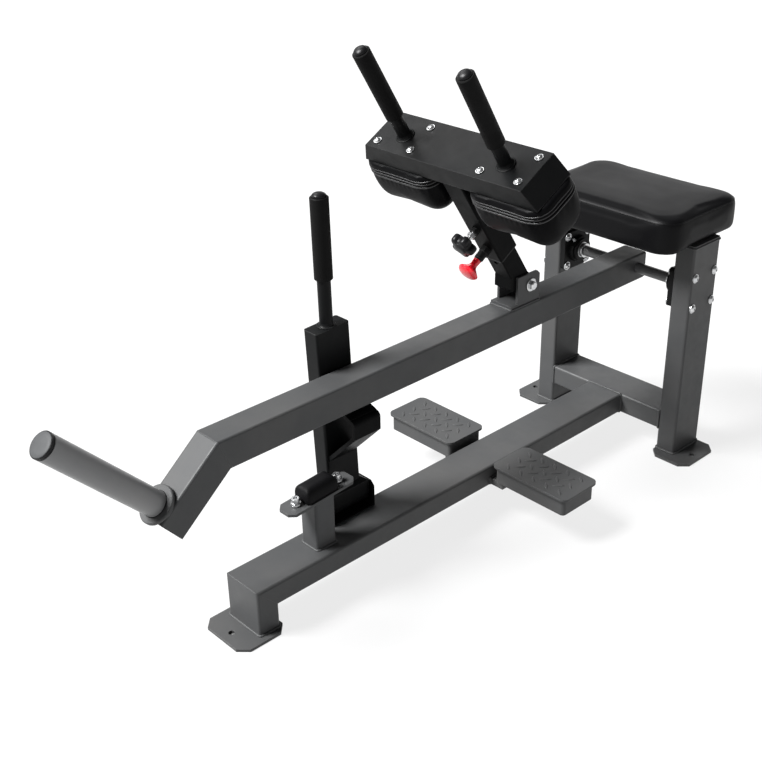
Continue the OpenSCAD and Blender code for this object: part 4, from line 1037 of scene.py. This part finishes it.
# %% Grease nipples on the bearings
BEARING = (144, 19, 422)
nipple = [(0.5, 0.0), (4.0, 0.0), (4.0, 3.0), (2.6, 3.6), (2.2, 5.2), (3.1, 6.4), (3.1, 7.6),
          (2.0, 8.8), (0.5, 9.0)]
for side, word in ((-1, "left"), (1, "right")):
    boss = moved(side * BEARING[0], *BEARING[1:]) @ turned_about_x(38) @ moved(0, 0, 32.4)
    turn(f"{word}_grease_nipple", nipple, boss, zinc, "frame", "zinc_steel", 24)

# %% [markdown]
# ## Floor
#
# The machine stands on a plain floor in a white studio. A white floor that is only lit
# throws much light back on the machine and still has dark shadows. A mid-grey floor that
# glows looks as white, keeps its shadows pale and leaves the undersides dark. It doesn't
# glow under the three anchor holes, which would shine like lamps.

# %% Studio floor
FLOOR_HALF = 30.0
FLOOR_GLOW = 0.8
HOLE_SHADE = 0.018
ANCHOR_HOLES = (0, -1.189, 0), (0.245, 0, 0), (-0.245, 0, 0)
floor_mesh = bpy.data.meshes.new("studio_floor")
floor_mesh.from_pydata([(-FLOOR_HALF, -FLOOR_HALF, 0), (FLOOR_HALF, -FLOOR_HALF, 0),
                        (FLOOR_HALF, FLOOR_HALF, 0), (-FLOOR_HALF, FLOOR_HALF, 0)],
                       [], [(0, 1, 2, 3)])
floor = bpy.data.objects.new("studio_floor", floor_mesh)
scene.collection.objects.link(floor)
floor_finish, floor_tree, floor_shader, floor_place = start_finish(
    "studio_floor", Roughness=0.9, Specular_IOR_Level=0.0, Emission_Color=(1, 1, 1, 1))
glow = FLOOR_GLOW
for spot in ANCHOR_HOLES:
    away = add_node(floor_tree, "VectorMath", {0: floor_place, 1: spot}, operation="DISTANCE")
    lit = add_node(floor_tree, "Math", {0: away.outputs["Value"], 1: HOLE_SHADE},
                   operation="GREATER_THAN")
    glow = add_node(floor_tree, "Math", {0: lit.outputs["Value"], 1: glow},
                    operation="MULTIPLY").outputs["Value"]
feed(floor_tree, floor_shader.inputs["Emission Strength"], glow)
feed(floor_tree, floor_shader.inputs["Base Color"],
     ramp(floor_tree, grain(floor_tree, floor_place, 0.8), (0.3, linear(92)), (0.7, linear(94))))
floor_mesh.materials.append(floor_finish)
print("floor glows by", FLOOR_GLOW, "but not under", len(ANCHOR_HOLES), "holes")

# %% [markdown]
# ## Lights
#
# One large, soft source high on the front left gives shape: bright tops, a lighter front
# and dark right-hand faces. It is a sun with a wide disc, because a sun lights every part
# of a long machine alike. Black vinyl and black steel show only what they mirror, so a
# panel behind and one on the left are there to be mirrored, and light little else.

# %% Sun and panels
def panel(name, spot, aim, size, power):
    """Square soft light at a spot, turned to face its aim."""
    data = bpy.data.lights.new(name, "AREA")
    data.size = size
    data.energy = power
    light = bpy.data.objects.new(name, data)
    light.location = spot
    light.rotation_euler = (Vector(aim) - Vector(spot)).to_track_quat("-Z", "Y").to_euler()
    scene.collection.objects.link(light)


SUN_FROM = Vector((-0.42, -0.62, 0.85))
SUN_POWER, SUN_WIDTH = 11.5, 24
sun_data = bpy.data.lights.new("key", "SUN")
sun_data.energy = SUN_POWER
sun_data.angle = math.radians(SUN_WIDTH)
sun = bpy.data.objects.new("key", sun_data)
sun.rotation_euler = SUN_FROM.to_track_quat("Z", "Y").to_euler()
scene.collection.objects.link(sun)
panel("overhead", (-3.2, 4.4, 3.2), (0, -0.2, 0.5), 3.0, 28)
panel("left", (-2.3, -0.3, 3.2), (0, -0.58, 0.84), 1.5, 34)

# %% [markdown]
# ## Sky
#
# The sky does two jobs that pull against each other: it is the white ground behind the
# machine, and it lights the machine from everywhere. An even white sky would wash the
# black pieces out. So it is white low down, where it is seen, and dim above, where most
# of its light would come from.

# %% Sky
SKY_LOW, SKY_HIGH = (1, 1, 1, 1), (0.12, 0.12, 0.12, 1)
world = bpy.data.worlds.new("studio_sky")
world.use_nodes = True
sky_tree = world.node_tree
direction = add_node(sky_tree, "TexCoord").outputs["Generated"]
height = add_node(sky_tree, "SeparateXYZ", {"Vector": direction}).outputs["Z"]
sky = ramp(sky_tree, height, (0.17, SKY_LOW), (0.4, SKY_HIGH))
feed(sky_tree, sky_tree.nodes["Background"].inputs["Color"], sky)
scene.world = world
scene.view_settings.view_transform = "Standard"
print("sky", world.name, "view", scene.view_settings.view_transform)
